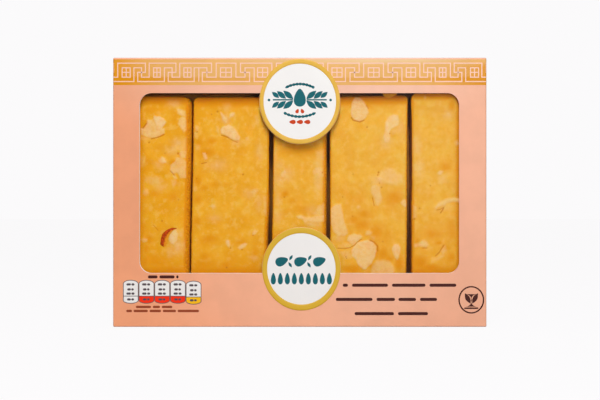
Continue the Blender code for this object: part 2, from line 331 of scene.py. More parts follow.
def to_mesh(name, builder):
    """Turns a bmesh into a mesh whose faces point outwards."""
    bmesh.ops.recalc_face_normals(builder, faces=builder.faces)
    mesh = bpy.data.meshes.new(name)
    builder.to_mesh(mesh)
    builder.free()
    return mesh


def baked(obj):
    """The mesh of an object with its modifiers applied."""
    graph = bpy.context.evaluated_depsgraph_get()
    return bpy.data.meshes.new_from_object(obj.evaluated_get(graph))


# %% [markdown]
# ## Printed board
#
# Carton board is white fibre with ink and a satin varnish on top. Seen close, it isn't one flat
# colour: the ink is a touch uneven and the fibres give the varnish a fine tooth. So one function
# makes every ink: a cloud of about a centimetre shifts the colour a little, and a fibre noise
# well under a millimetre bends the gloss. All inks have the same tooth, and the gold and the
# dark ones shine less. The cut edge and the inside are bare board, which is matt: white at the
# cut, and greyer inside.

# %% Painted sheen and painted floor light that shift the ink over the panel
SHEEN_HIGH_PATCH = ((-5 * MM, 0, 168 * MM), (150 * MM, 60 * MM), 0.55)
SHEEN_LOW_PATCH = ((0, 0, 28 * MM), (110 * MM, 60 * MM), 0.2)
PINK = (0.85, 0.33, 0.158, 1)
PINK_SHEEN = (0.86, 0.49, 0.34, 1)
FLOOR_LIGHT_LIFT = (1.055, 1.055, 1.055, 1)
GOLD_DEEP = (0.72, 0.275, 0.0, 1)
GOLD = (0.80, 0.43, 0.127, 1)
GOLD_SHEEN = (0.85, 0.58, 0.30, 1)
GOLD_LINE_UP = 159.3 * MM


def sheen_patch(tree, place, middle, reach, strength):
    """A soft oval patch on the panel, from its strength in the middle to 0 at its edge."""
    offset = add_node(tree, "ShaderNodeVectorMath", {0: place, 1: middle}, operation="SUBTRACT")
    by_reach = {0: offset.outputs[0], 1: (1 / reach[0], 0, 1 / reach[1])}
    shrunk = add_node(tree, "ShaderNodeVectorMath", by_reach, operation="MULTIPLY")
    ball = add_node(tree, "ShaderNodeTexGradient", {"Vector": shrunk.outputs[0]}, gradient_type="SPHERICAL")
    return ranged(tree, ball.outputs["Fac"], 0.0, 0.6, 0, strength)


def pink_print_and_sheen(tree, place):
    """Pink with painted sheen to the right, above the window and a touch below it, and painted floor light
    low left.
    """
    across, up = across_and_up(tree, place)
    # Painted sheen: paler to the right, above the window and a touch below it
    sheen_rightward = ranged(tree, across, -1.5 * HALF_WIDTH, 1.2 * HALF_WIDTH, 0, 0.42)
    share = maths(tree, "ADD", sheen_rightward, sheen_patch(tree, place, *SHEEN_HIGH_PATCH))
    share = maths(tree, "ADD", share, sheen_patch(tree, place, *SHEEN_LOW_PATCH))
    colour = blend(tree, share, PINK, PINK_SHEEN)
    # Painted light from the white floor, which lifts the pink at the lower left
    floor_light_share = maths(tree, "MULTIPLY", ranged(tree, up, 30 * MM, 45 * MM, 1, 0),
                     ranged(tree, across, -20 * MM, 60 * MM, 1, 0))
    return blend(tree, floor_light_share, colour, blend(tree, 1.0, colour, FLOOR_LIGHT_LIFT, "MULTIPLY"))


def gold_print_and_sheen(tree, place):
    """Gold with a painted sheen, palest in the middle and at its upper edge; deeper at both ends and along
    its lower line.
    """
    across, up = across_and_up(tree, place)
    # Painted sheen: palest in the middle, deeper towards both ends
    from_middle = maths(tree, "ABSOLUTE", maths(tree, "SUBTRACT", across, 2 * MM))
    ends = maths(tree, "POWER", maths(tree, "DIVIDE", from_middle, 120 * MM), 4.0)
    share = maths(tree, "SUBTRACT", 1.1, maths(tree, "MULTIPLY", ends, 1.1))
    # Painted sheen along the band's upper edge, stronger to the right
    upper = maths(tree, "MULTIPLY", ranged(tree, up, 166.5 * MM, 172 * MM),
                  ranged(tree, across, -80 * MM, 60 * MM, 0.1, 0.85))
    share = maths(tree, "ADD", share, upper)
    share = maths(tree, "SUBTRACT", share, ranged(tree, up, 157 * MM, 164 * MM, 0.25, 0))
    from_line = maths(tree, "ABSOLUTE", maths(tree, "SUBTRACT", up, GOLD_LINE_UP))
    share = maths(tree, "SUBTRACT", share, ranged(tree, from_line, 0.5 * MM, 2.2 * MM, 0.4, 0))
    colour = blend(tree, ranged(tree, share, -0.2, 1.05), GOLD_DEEP, GOLD)
    return blend(tree, ranged(tree, share, 1.0, 2.1), colour, GOLD_SHEEN)


# %% Inks and bare board
VARNISH_ROUGHNESS = (0.34, 0.40)
INK_CLOUD = 14 * MM
FIBRE = 0.35 * MM
FIBRE_DEPTH = 0.006 * MM
BOARD_ROUGHNESS = 0.85
FIBRE_SHADE = 0.93
DARK_GLOSS = 0.1
DARK_INKS = {
    "teal": (22, 98, 106),
    "brown": (74, 34, 28),
    "red": (246, 52, 22),
    "vermilion": (200, 66, 24),
    "amber": (250, 188, 26),
    "grey": (92, 80, 84),
    "rust": (150, 72, 44),
}


def printed_finish(name, colour, uneven=0.03, gloss=0.5):
    """Ink under satin varnish: slightly uneven colour, and a fibre tooth in the gloss."""
    finish, tree, shader, place = start_finish(name)
    cloud = ranged(tree, grain(tree, place, INK_CLOUD, detail=3.0), 0.3, 0.7)
    uneven_ink = blend(tree, cloud, (1 - uneven,) * 3 + (1,), (1 + uneven,) * 3 + (1,))
    ink = colour(tree, place) if callable(colour) else colour
    fibres = grain(tree, place, FIBRE)
    fill_inputs(tree, shader, {
        "Base Color": blend(tree, 1.0, ink, uneven_ink, "MULTIPLY"),
        "Roughness": ranged(tree, fibres, 0.2, 0.8, *VARNISH_ROUGHNESS),
        "Specular IOR Level": gloss,
        "Normal": bumped(tree, fibres, FIBRE_DEPTH),
    })
    return finish


def bare_board_finish(name, colour):
    """Uncoated board: matt fibre with a coarser tooth than the varnished face."""
    finish, tree, shader, place = start_finish(name)
    fibres = grain(tree, place, FIBRE * 2, detail=4.0, roughness=0.7)
    fill_inputs(tree, shader, {
        "Base Color": blend(tree, ranged(tree, fibres, 0.25, 0.75), scaled(colour, FIBRE_SHADE), colour),
        "Roughness": BOARD_ROUGHNESS,
        "Normal": bumped(tree, fibres, FIBRE_DEPTH * 3),
    })
    return finish


pink = printed_finish("pink_ink", pink_print_and_sheen)
gold = printed_finish("gold_ink", gold_print_and_sheen, gloss=0.15)
pale_pink = printed_finish("pale_pink_ink", (0.92, 0.55, 0.42, 1), uneven=0.015)
white_ink = printed_finish("white_ink", (0.86, 0.83, 0.80, 1), uneven=0.01)
dark_ink = {
    name: printed_finish(f"{name}_ink", srgb(*levels), gloss=DARK_GLOSS) for name, levels in DARK_INKS.items()
}
board_core = bare_board_finish("cut_board", (0.97, 0.9, 0.84, 1))
board_inside = bare_board_finish("inside_board", (0.55, 0.5, 0.44, 1))
print(len(bpy.data.materials), "finishes so far")

# %% [markdown]
# ## The folded carton
#
# The real carton is a sheet folded into a box, glued at the back and tucked at the ends. It could
# be folded from flat panels, but a box with its inside cut away gives the same walls in one
# closed mesh, and its bevelled edges are the folds. The window is cut with a cutter that is a
# little larger in front than behind, as a die leaves it: the slope shows the white board, which
# is the thin pale line round the window in the photograph. The two badges stand on tabs that the
# cutter leaves in place.

# %% Box, cutter and outlines
FOLD_SEGMENTS = 6
CUT_SPREAD_FRONT = 0.25 * MM
CUT_SPREAD_BACK = 0.15 * MM
CUT_SLOPE = (CUT_SPREAD_FRONT - CUT_SPREAD_BACK) / BOARD
CUT_LEAN = (0.2 * MM, 0.1 * MM)
WINDOW_CORNER_STEPS = 10
OVAL_SIDES = 96


def box_builder(low, high, fold_radius=0.0, segments=2):
    """A box between two corners with its edges rounded like folds."""
    builder = bmesh.new()
    bmesh.ops.create_cube(builder, size=1)
    size, middle = Vector(high) - Vector(low), (Vector(high) + Vector(low)) / 2
    for vertex in builder.verts:
        vertex.co = Vector(a * b for a, b in zip(vertex.co, size)) + middle
    if fold_radius:
        bmesh.ops.bevel(builder, geom=builder.edges[:], offset=fold_radius, segments=segments,
                        profile=0.5, affect="EDGES")
    return builder


def oval(badge, half_size, grow=0.0, sides=OVAL_SIDES):
    """Outline of an oval about a badge's middle, as (across, up) points."""
    turns = [2 * math.pi * i / sides for i in range(sides)]
    reach_x, reach_z = half_size[0] + grow, half_size[1] + grow
    return [(badge.across + reach_x * math.cos(t), badge.up + reach_z * math.sin(t)) for t in turns]


def rounded(left, right, low, high, radius, steps):
    """Outline of a rectangle with round corners."""
    corners = ((right - radius, high - radius, 0), (left + radius, high - radius, 90),
               (left + radius, low + radius, 180), (right - radius, low + radius, 270))
    outline = []
    for x, z, start in corners:
        for step in range(steps + 1):
            turn = math.radians(start + 90 * step / steps)
            outline.append((x + radius * math.cos(turn), z + radius * math.sin(turn)))
    return outline


def window_at(depth_past_front):
    """The window's outline at a depth behind the front: it widens to the front and leans."""
    grow = CUT_SPREAD_FRONT - CUT_SLOPE * depth_past_front
    lean = depth_past_front / BOARD - 0.5
    across, up = WINDOW_ACROSS + lean * CUT_LEAN[0], WINDOW_UP + lean * CUT_LEAN[1]
    half_width = WINDOW_HALF_WIDTH + grow
    return rounded(across - half_width, across + half_width, WINDOW_LOW + up - grow, WINDOW_HIGH + up + grow,
                   WINDOW_CORNER + grow, WINDOW_CORNER_STEPS)


def add_loft(builder, near_outline, far_outline, near_y, far_y):
    """Adds a closed shape between two outlines of the same count, at two depths."""
    near = [builder.verts.new((x, near_y, z)) for x, z in near_outline]
    far = [builder.verts.new((x, far_y, z)) for x, z in far_outline]
    for i in range(len(near)):
        j = (i + 1) % len(near)
        builder.faces.new((near[i], near[j], far[j], far[i]))
    builder.faces.new(near)
    builder.faces.new(list(reversed(far)))


def carve(mesh, cutters):
    """Cuts meshes out of a mesh with one exact Boolean on a collection."""
    scratch = put_in_scene("scratch", mesh)
    group = bpy.data.collections.new("cutters")
    for cutter in cutters:
        group.objects.link(bpy.data.objects.new("cutter", cutter))
    boolean = scratch.modifiers.new("carve", "BOOLEAN")
    boolean.operation = "DIFFERENCE"
    boolean.operand_type = "COLLECTION"
    boolean.collection = group
    boolean.solver = "EXACT"
    result = baked(scratch)
    for obj in list(group.objects) + [scratch]:
        bpy.data.objects.remove(obj)
    bpy.data.collections.remove(group)
    return result


# %% Cut the window
HOLE_DEPTHS = (-1 * MM, 1.6 * MM)
TAB_DEPTHS = (-2 * MM, 2.6 * MM)


def cutter_mesh(name, outline_at, depths):
    """A cutter between two depths behind the front, with the outline that each depth has."""
    builder = bmesh.new()
    start, end = depths
    add_loft(builder, outline_at(start), outline_at(end), FRONT_Y + start, FRONT_Y + end)
    return to_mesh(name, builder)


tab_shapes = [
    cutter_mesh("tab", lambda depth, badge=badge: oval(badge, badge.tab), TAB_DEPTHS)
    for badge in (TOP_BADGE, LOW_BADGE)
]
window_cutter = carve(cutter_mesh("window_hole", window_at, HOLE_DEPTHS), tab_shapes)

outside = box_builder((-HALF_WIDTH, FRONT_Y, 0), (HALF_WIDTH, BACK_Y, HEIGHT), FOLD_RADIUS, FOLD_SEGMENTS)
inside = box_builder(
    (-HALF_WIDTH + BOARD, FRONT_Y + BOARD, BOARD),
    (HALF_WIDTH - BOARD, BACK_Y - BOARD, HEIGHT - BOARD), FOLD_RADIUS / 4,
)
carton_mesh = carve(to_mesh("carton", outside), [to_mesh("hollow", inside)])
carton_mesh = carve(carton_mesh, [window_cutter])
print("carton with its window:", len(carton_mesh.polygons), "faces")

# %% [markdown]
# ### Flaps, seam and a little life
#
# The end flaps are tucked in, so a slit runs round three sides of each end, and the back has a
# glued overlap. A real box of thin board is never quite flat either: the back, ends and top pull
# in by a fraction of a millimetre between their folds. The mesh is first cut into a grid, as a
# large flat face has no points that could move, and the same cuts give the edges of the gold
# band, so that each face takes one ink.

# %% Slits, grid and bow
SLIT_WIDTH = 0.4 * MM
SLIT_DEPTH = 0.3 * MM
FLAP_INSET = 1.3 * MM
SEAM_UP = 2.2 * MM
GRID_STEP = 8 * MM
BAND_LOW = 155.4 * MM
BAND_HIGH = 172.0 * MM
BOW_BACK = 0.28 * MM
BOW_END = 0.22 * MM
BOW_TOP = 0.22 * MM
MIDDLE_Y = (FRONT_Y + BACK_Y) / 2
HALF_DEPTH = (BACK_Y - FRONT_Y) / 2


def slit_cutters():
    """Blocks that cut the slits round the end flaps and the seam of the back."""
    reach = 1 * MM
    flap_front = FRONT_Y + FLAP_INSET
    flap_low, flap_high = FLAP_INSET, HEIGHT - FLAP_INSET
    runs = (
        (flap_front, flap_front + SLIT_WIDTH, flap_low, flap_high),
        (flap_front + SLIT_WIDTH / 2, BACK_Y - FLAP_INSET, flap_low, flap_low + SLIT_WIDTH),
        (flap_front + SLIT_WIDTH / 2, BACK_Y - FLAP_INSET, flap_high - SLIT_WIDTH, flap_high),
    )
    blocks = []
    for side in (-1, 1):
        near, far = sorted((side * (HALF_WIDTH - SLIT_DEPTH), side * (HALF_WIDTH + reach)))
        for y_low, y_high, z_low, z_high in runs:
            blocks.append(box_builder((near, y_low, z_low), (far, y_high, z_high)))
    seam_half = HALF_WIDTH - 2 * FLAP_INSET
    blocks.append(box_builder((-seam_half, BACK_Y - SLIT_DEPTH, SEAM_UP),
                              (seam_half, BACK_Y + reach, SEAM_UP + SLIT_WIDTH)))
    return [to_mesh("slit", builder) for builder in blocks]


def bow(point):
    """Moves a point of the board as the back, ends and top pull in between their folds."""
    across = max(0.0, 1 - (point.x / HALF_WIDTH) ** 2)
    deep = max(0.0, 1 - ((point.y - MIDDLE_Y) / HALF_DEPTH) ** 2)
    up = max(0.0, 1 - (point.z / (HEIGHT / 2) - 1) ** 2)
    skin = BOARD * 2
    moved = point.copy()
    if point.y > BACK_Y - skin:
        moved.y -= BOW_BACK * across * up
    if abs(point.x) > HALF_WIDTH - skin:
        moved.x -= math.copysign(BOW_END * deep * up, point.x)
    if point.z > HEIGHT - skin:
        moved.z -= BOW_TOP * across * deep
    return moved


def slice_builder(builder, axis, levels):
    """Cuts a bmesh along planes across one axis, without taking anything away."""
    normal = Vector((0, 0, 0))
    normal[axis] = 1
    for level in levels:
        geometry = builder.verts[:] + builder.edges[:] + builder.faces[:]
        bmesh.ops.bisect_plane(builder, geom=geometry, dist=1e-7, plane_co=normal * level, plane_no=normal)


def stops(low, high, step):
    """Evenly spaced levels strictly between two ends."""
    count = max(1, round((high - low) / step))
    return [low + (high - low) * i / count for i in range(1, count)]


carton_mesh = carve(carton_mesh, slit_cutters())
builder = bmesh.new()
builder.from_mesh(carton_mesh)
slice_builder(builder, 0, stops(-HALF_WIDTH, HALF_WIDTH, GRID_STEP))
slice_builder(builder, 1, stops(FRONT_Y, BACK_Y, GRID_STEP))
band_levels = [BAND_LOW, (BAND_LOW + BAND_HIGH) / 2, BAND_HIGH]
slice_builder(builder, 2, stops(0, BAND_LOW, GRID_STEP) + band_levels)
print("carton on its grid:", len(builder.faces), "faces")


# %% Give each face of the carton its ink
SKIN = 0.06 * MM
PINK_FACE, GOLD_FACE, CORE_FACE, INSIDE_FACE = range(4)


def shell_distance(point):
    """Distance of a point from the carton's rounded outside, negative inside."""
    half = Vector((HALF_WIDTH, HALF_DEPTH, HEIGHT / 2))
    middle = Vector((0, MIDDLE_Y, HEIGHT / 2))
    gap = Vector(abs(c) for c in (point - middle)) - half + Vector((FOLD_RADIUS,) * 3)
    outside = Vector(max(c, 0.0) for c in gap).length
    return outside + min(max(gap), 0.0) - FOLD_RADIUS


def face_ink(face):
    """Which finish a face wears: print outside, white core at cuts, bare board inside."""
    middle = face.calc_center_median()
    if abs(shell_distance(middle)) < SKIN:
        return GOLD_FACE if BAND_LOW < middle.z < BAND_HIGH else PINK_FACE
    deep_in_board = middle.y > FRONT_Y + BOARD - SKIN and shell_distance(middle) < -BOARD + SKIN
    return INSIDE_FACE if deep_in_board else CORE_FACE


for face in builder.faces:
    face.material_index = face_ink(face)
for vertex in builder.verts:
    vertex.co = bow(vertex.co)
carton_mesh = bpy.data.meshes.new("folded_carton")
builder.to_mesh(carton_mesh)
builder.free()
carton_finishes = (pink, gold, board_core, board_inside)
add_piece("folded_carton", carton_mesh, carton_finishes, ("carton",))

# %% [markdown]
# ## Raised print
#
# In the solids the print is part of the front panel's colour. Here each printed shape is a very
# thin closed plate, a few hundredths of a millimetre proud of the board, much as a thick varnished
# ink really is. Plates keep their crisp edge at any zoom and need no image. Every plate starts
# as an outline in the panel's own two directions, across and up, so small functions make the
# outlines first: leaf shapes, ovals, and rounded bars that stand in for words.

# %% Outlines for print
PRINT_SINK = 0.05 * MM
LEAF_STEPS = 10
BAR_STEPS = 5
DOME_STEPS = 12


def turned(points, middle, turn_degrees):
    """Turns points about the origin, anticlockwise as seen, and moves them to a middle."""
    turn = math.radians(turn_degrees)
    c, s = math.cos(turn), math.sin(turn)
    return [(middle[0] + x * c - z * s, middle[1] + x * s + z * c) for x, z in points]


def kernel(middle, length, width, turn=0, taper=0.35, steps=28):
    """An almond outline, round at the foot and drawn in at the tip, upright when turn is 0."""
    points = []
    for i in range(steps):
        t = 2 * math.pi * i / steps
        points.append((width / 2 * math.sin(t) * (1 - taper * math.cos(t)), length / 2 * math.cos(t)))
    return turned(points, middle, turn)


def leaf(middle, length, width, turn=0):
    """A leaf outline with a point at both ends."""
    shares = [i / LEAF_STEPS for i in range(LEAF_STEPS + 1)]
    right = [(width / 2 * math.sin(math.pi * share), length * (share - 0.5)) for share in shares]
    left = [(-x, z) for x, z in reversed(right[1:-1])]
    return turned(right + left, middle, turn)


def bar(left, right, low, high, round_share=0.5):
    """A bar with rounded ends."""
    return rounded(left, right, low, high, (high - low) * round_share, BAR_STEPS)


def arched(left, right, low, high, rise, drop):
    """A shape with upright sides, a domed top and a domed foot; a dome of 0 leaves it straight."""
    middle, reach = (left + right) / 2, (right - left) / 2
    points = []
    for z, dome, start in ((high, rise, 0), (low, drop, 180)):
        count = DOME_STEPS if dome else 1
        for step in range(count + 1):
            t = math.radians(start + 180 * step / count)
            points.append((middle + reach * math.cos(t), z + dome * math.sin(t)))
    return points


# %% Plates from outlines
CROWN_LEAN = 0.2


def plates(name, outlines, lift, face_y=FRONT_Y, outward=-1):
    """One mesh of thin closed plates on the front panel, or on the back with outward 1."""
    builder = bmesh.new()
    for outline in outlines:
        add_loft(builder, outline, outline, face_y + outward * lift, face_y - outward * PRINT_SINK)
    for vertex in builder.verts:
        vertex.co = bow(vertex.co)
    return to_mesh(name, builder)


def print_plates(name, outlines, ink, lift, **place):
    """Adds a set of printed plates as one piece."""
    add_piece(name, plates(name, outlines, lift, **place), (ink,))


def band_loop(name, inner, outer, section):
    """A closed band between two outlines of the same count, with a crown given by a section."""
    builder = bmesh.new()
    rings = []
    for (xi, zi), (xo, zo) in zip(inner, outer):
        ring = [(xi + (xo - xi) * share, FRONT_Y - lift, zi + (zo - zi) * share) for share, lift in section]
        ring += [(xo, FRONT_Y + PRINT_SINK, zo), (xi, FRONT_Y + PRINT_SINK, zi)]
        rings.append([builder.verts.new(point) for point in ring])
    for ring, after in zip(rings, rings[1:] + rings[:1]):
        for k in range(len(ring)):
            m = (k + 1) % len(ring)
            builder.faces.new((ring[k], ring[m], after[m], after[k]))
    mesh = to_mesh(name, builder)
    for face in mesh.polygons:
        face.use_smooth = abs(face.normal.y) > CROWN_LEAN
    return mesh


# %% [markdown]
# ## The two badges
#
# Each badge is a white oval in an embossed gold ring, on a tab of the board that reaches over the
# window. The ring in the photograph catches the light along its middle, so its section is a low
# crown: flat rings look printed. The upper badge carries a sprig of almond and the lower one rows
# of almonds, in teal and with the weight that such a badge needs.

# %% Fields and rings
FIELD_LIFT = 0.10 * MM
FIELD_UNDER_RING = 0.2 * MM
RING_LEDGE = 0.12 * MM
RING_CROWN = ((0.0, 0.1), (0.03, 0.2), (0.25, 0.235), (0.5, 0.245), (0.75, 0.235), (0.97, 0.2), (1.0, 0.1))
FOIL = (0.74, 0.42, 0.035, 1)
FOIL_PALE = (0.79, 0.455, 0.055, 1)
FOIL_LOW = (0.69, 0.41, 0.02, 1)


def foil_finish(name):
    """Gold foil with a soft shine, a little deeper on the lower badge than on the upper one."""
    finish, tree, shader, place = start_finish(name)
    cloud = ranged(tree, grain(tree, place, 9 * MM, detail=3.0), 0.3, 0.7)
    rise = ranged(tree, across_and_up(tree, place)[1], 70 * MM, 110 * MM)
    fine = grain(tree, place, 0.6 * MM)
    fill_inputs(tree, shader, {
        "Base Color": blend(tree, rise, FOIL_LOW, blend(tree, cloud, FOIL, FOIL_PALE)),
        "Roughness": ranged(tree, fine, 0.2, 0.8, 0.36, 0.46),
        "Specular IOR Level": 0.3,
        "Normal": bumped(tree, fine, 0.008 * MM),
    })
    return finish


gold_foil = foil_finish("gold_foil")
ring_section = [(share, lift * MM) for share, lift in RING_CROWN]
for label, badge in (("top", TOP_BADGE), ("low", LOW_BADGE)):
    print_plates(f"{label}_badge_field", [oval(badge, badge.field, FIELD_UNDER_RING)], white_ink, FIELD_LIFT)
    ring_name = f"{label}_badge_ring"
    crown = band_loop(ring_name, oval(badge, badge.field), oval(badge, badge.tab, -RING_LEDGE), ring_section)
    add_piece(ring_name, crown, (gold_foil,))

# %% Sprig on the upper badge
EMBLEM_LIFT = 0.13 * MM
SEEDS = 9
# Height of the centre and radius in mm, and the first and last angle
SEED_ARCS = ((-7.4, 18.6, 64, 116), (11.6, 21.4, 245, 295))


def on_badge(badge, across, up):
    """A place on a badge, given in millimetres from its middle."""
    return (badge.across + across * MM, badge.up + up * MM)


def along_arc(badge, centre_up, radius, first, last, count):
    """Places along an arc on a badge, each with the turn that follows the arc."""
    places = []
    for i in range(count):
        angle = first + (last - first) * i / (count - 1)
        t = math.radians(angle)
        places.append((on_badge(badge, radius * math.cos(t), centre_up + radius * math.sin(t)), angle))
    return places


sprig = [kernel(on_badge(TOP_BADGE, 0, 2.4), 11.5 * MM, 7.4 * MM)]
for side in (-1, 1):
    stem_ends = sorted((TOP_BADGE.across + side * 4.4 * MM, TOP_BADGE.across + side * 17.4 * MM))
    sprig.append(bar(*stem_ends, TOP_BADGE.up + 0.6 * MM, TOP_BADGE.up + 1.5 * MM))
    for reach, length, width in ((7.0, 8.4, 3.5), (11.4, 7.6, 3.3), (15.2, 6.0, 2.8)):
        for tilt, up in ((50, 4.2), (130, -2.1)):
            root = on_badge(TOP_BADGE, side * (reach + 0.4), up)
            sprig.append(leaf(root, length * MM, width * MM, -side * tilt))
    sprig.append(kernel(on_badge(TOP_BADGE, side * 19.8, 0.9), 1.7 * MM, 1.7 * MM, taper=0))
for centre_up, radius, first, last in SEED_ARCS:
    for place, angle in along_arc(TOP_BADGE, centre_up, radius, first, last, SEEDS):
        sprig.append(kernel(place, 2.8 * MM, 1.7 * MM, angle))
print_plates("almond_sprig", sprig, dark_ink["teal"], EMBLEM_LIFT)

drops = [kernel(on_badge(TOP_BADGE, side * 1.6, -6.2), 3.0 * MM, 2.1 * MM, side * 24) for side in (-1, 1)]
drops += [kernel(on_badge(TOP_BADGE, across, -13.2), 4.1 * MM, 2.6 * MM, 90) for across in (-4.7, 0, 4.7)]
print_plates("red_drops", drops, dark_ink["vermilion"], EMBLEM_LIFT)

# %% Almonds on the lower badge
rows = []
for across in (-12.6, -0.5, 11.6):
    rows.append(kernel(on_badge(LOW_BADGE, across, 4.9), 8.4 * MM, 5.6 * MM, -70))
for across in (-6.7, 5.4):
    rows.append(leaf(on_badge(LOW_BADGE, across, 7.2), 4.0 * MM, 1.7 * MM, -32))
    rows.append(leaf(on_badge(LOW_BADGE, across - 0.5, 2.6), 4.0 * MM, 1.7 * MM, 32))
for i in range(-4, 5):
    rows.append(kernel(on_badge(LOW_BADGE, i * 4.5, -6.3), 7.4 * MM, 3.1 * MM))
print_plates("almond_rows", rows, dark_ink["teal"], EMBLEM_LIFT)

# %% [markdown]
# ## The key border
#
# A Greek key runs round the carton on its gold band: two strands that cross in each knot, with a
# small window pane between the knots. Drawn by hand this would be hundreds of corners, but it
# follows a rule. Each knot has five columns and each strand takes a fixed way through them, so
# a short table of knots gives the whole border. A strand that comes in low leaves high, and the
# other way round. Geometry Nodes then sweep a thin strip along the edges of that path. Last, the
# flat strip is wrapped round the carton's folds, which is easier than drawing it in space.

# %% The border's path, flat
ROWS = [z * MM for z in (157.7, 160.5, 163.6, 166.5, 169.5)]
FLAT_HALF = HALF_WIDTH - FOLD_RADIUS
FOLD_LENGTH = FOLD_RADIUS * math.pi / 2
END_LENGTH = 2 * (HALF_DEPTH - FOLD_RADIUS)
QUARTER = FLAT_HALF + FOLD_LENGTH + END_LENGTH / 2
KNOTS = ((12.1, 2.93, "rising"), (35.2, 2.93, "rising"), (59.7, 2.97, "falling"),
         (82.1, 2.47, "falling"), (101.7, 2.45, "falling"), (122.2, 2.6, "falling"))
MIDDLE_PANE = 6.5 * MM
PANES_LEFT = ((23.9, 6.5), (47.5, 7.0), (72.2, 4.6), (91.8, 4.3), (111.6, 5.2))
PANES_RIGHT = ((23.9, 6.5), (47.5, 7.0), (71.4, 6.0), (91.8, 4.3), (112.3, 5.2))
# One leg is printed off its drawn place, and a spare one stands beside it
SLIPPED_LEG = (-65.64 * MM, -67.9 * MM)
SPARE_LEG = -64.9 * MM
LONG_WAY = ((1, 0), (1, 3), (3, 3), (3, 1), (5, 1), (5, 4))
SHORT_WAY = ((4, 4), (4, 2), (2, 2), (2, 0))


def strand(start_row):
    """The corners of one strand from the front's middle to the end's middle."""
    level, points = start_row, []
    for centre, pitch, kind in KNOTS:
        enters_long = (level == 0) == (kind == "rising")
        for column, row in LONG_WAY if enters_long else SHORT_WAY:
            shown_row = row if kind == "rising" else 4 - row
            points.append(((centre + (column - 3) * pitch) * MM, ROWS[shown_row]))
        level = 4 - level
    return points


def round_carton(quarter, back_up):
    """Mirrors a strand to the back and to the other side; it starts and ends at the back seam."""
    to_back = quarter + [(2 * QUARTER - s, z) for s, z in reversed(quarter)] + [(2 * QUARTER, back_up)]
    return [(-s, z) for s, z in reversed(to_back)] + to_back


pane_places = [(s, MIDDLE_PANE) for s in (0.0, QUARTER, -QUARTER, 2 * QUARTER)]
for side, panes in ((-1, PANES_LEFT), (1, PANES_RIGHT)):
    for place, width in panes:
        pane_places += [(side * s, width * MM) for s in (place * MM, 2 * QUARTER - place * MM)]
print(2 * len(round_carton(strand(0), ROWS[0])), "corners on both strands,", len(pane_places), "panes")

# %% Path as a mesh of edges
STEP_FLAT = 4 * MM
STEP_FOLD = 0.29 * MM
CORNER_GIRTH = math.sqrt(2)
FAR_FOLD = FLAT_HALF + FOLD_LENGTH + END_LENGTH
path_verts, path_edges, path_girths = [], [], []


def near_fold(s):
    """Whether a place along the border lies on one of the four folds."""
    return any(-STEP_FOLD < abs(s) - start < FOLD_LENGTH + STEP_FOLD for start in (FLAT_HALF, FAR_FOLD))


def between(first, last):
    """Steps on a straight run: small ones at the folds, long ones elsewhere."""
    (s0, z0), (s1, z1) = first, last
    count = max(1, math.ceil(abs(s1 - s0) / STEP_FOLD))
    steps, latest = [], s0
    for i in range(1, count):
        s = s0 + (s1 - s0) * i / count
        if near_fold(s) or abs(s - latest) >= STEP_FLAT:
            steps.append((s, z0 + (z1 - z0) * i / count))
            latest = s
    return steps


def add_path(points, girth, closed=False):
    """Adds a run of edges, thicker at square corners so that the mitres keep their width."""
    start = len(path_verts)
    for i, point in enumerate(points):
        free_end = not closed and i in (0, len(points) - 1)
        path_verts.append((*point, 0))
        path_girths.append(girth if free_end else girth * CORNER_GIRTH)
        if closed or i < len(points) - 1:
            for step in between(point, points[(i + 1) % len(points)]):
                path_verts.append((*step, 0))
                path_girths.append(girth)
    path_edges.extend((i, i + 1) for i in range(start, len(path_verts) - 1))
    if closed:
        path_edges.append((len(path_verts) - 1, start))


for row, girth in ((0, 1.0), (4, 0.94)):
    run = round_carton(strand(row), ROWS[row])
    drawn_at, printed_at = SLIPPED_LEG
    add_path([(printed_at if abs(s - drawn_at) < 0.1 * MM else s, z) for s, z in run], girth)
add_path([(SPARE_LEG, ROWS[3]), (SPARE_LEG, ROWS[0])], 0.9)
for s, width in pane_places:
    left, right = s - width / 2, s + width / 2
    add_path([(left, ROWS[1]), (right, ROWS[1]), (right, ROWS[3]), (left, ROWS[3])], 0.97, closed=True)
    add_path([(left, ROWS[2]), (right, ROWS[2])], 0.9)
    add_path([(s, ROWS[1]), (s, ROWS[3])], 0.87)
path_mesh = bpy.data.meshes.new("key_path")
path_mesh.from_pydata(path_verts, path_edges, [])
path_mesh.attributes.new("girth", "FLOAT", "POINT").data.foreach_set("value", path_girths)
print(len(path_verts), "points on the border's path")

# %% [markdown]
# ### Sweep and wrap
#
# The node tree turns the edges into curves and sweeps a flat four-sided profile along them. Its
# width and height are named inputs. The normals are kept upright, so that the strip lies flat
# through every corner. After the sweep, each point's three numbers are read as distance along,
# height up and lift off the board, and are laid round the folds.

# %% Geometry Nodes for swept lines
LINE_WIDTH = 0.7 * MM
LINE_LIFT = 0.05 * MM
TREE_SOCKETS = (
    ("Geometry", "INPUT", "NodeSocketGeometry"), ("Width", "INPUT", "NodeSocketFloat"),
    ("Height", "INPUT", "NodeSocketFloat"), ("Ink", "INPUT", "NodeSocketMaterial"),
    ("Geometry", "OUTPUT", "NodeSocketGeometry"),
)


def run_tree(name, mesh, tree, values):
    """Runs a tree on a mesh with its inputs set by identifier, and returns a plain mesh."""
    carrier = put_in_scene(name, mesh)
    modifier = carrier.modifiers.new("nodes", "NODES")
    modifier.node_group = tree
    for item in tree.interface.items_tree:
        if item.in_out == "INPUT" and item.name in values:
            modifier[item.identifier] = values[item.name]
    result = baked(carrier)
    carrier.modifiers.remove(modifier)
    bpy.data.objects.remove(carrier)
    return result


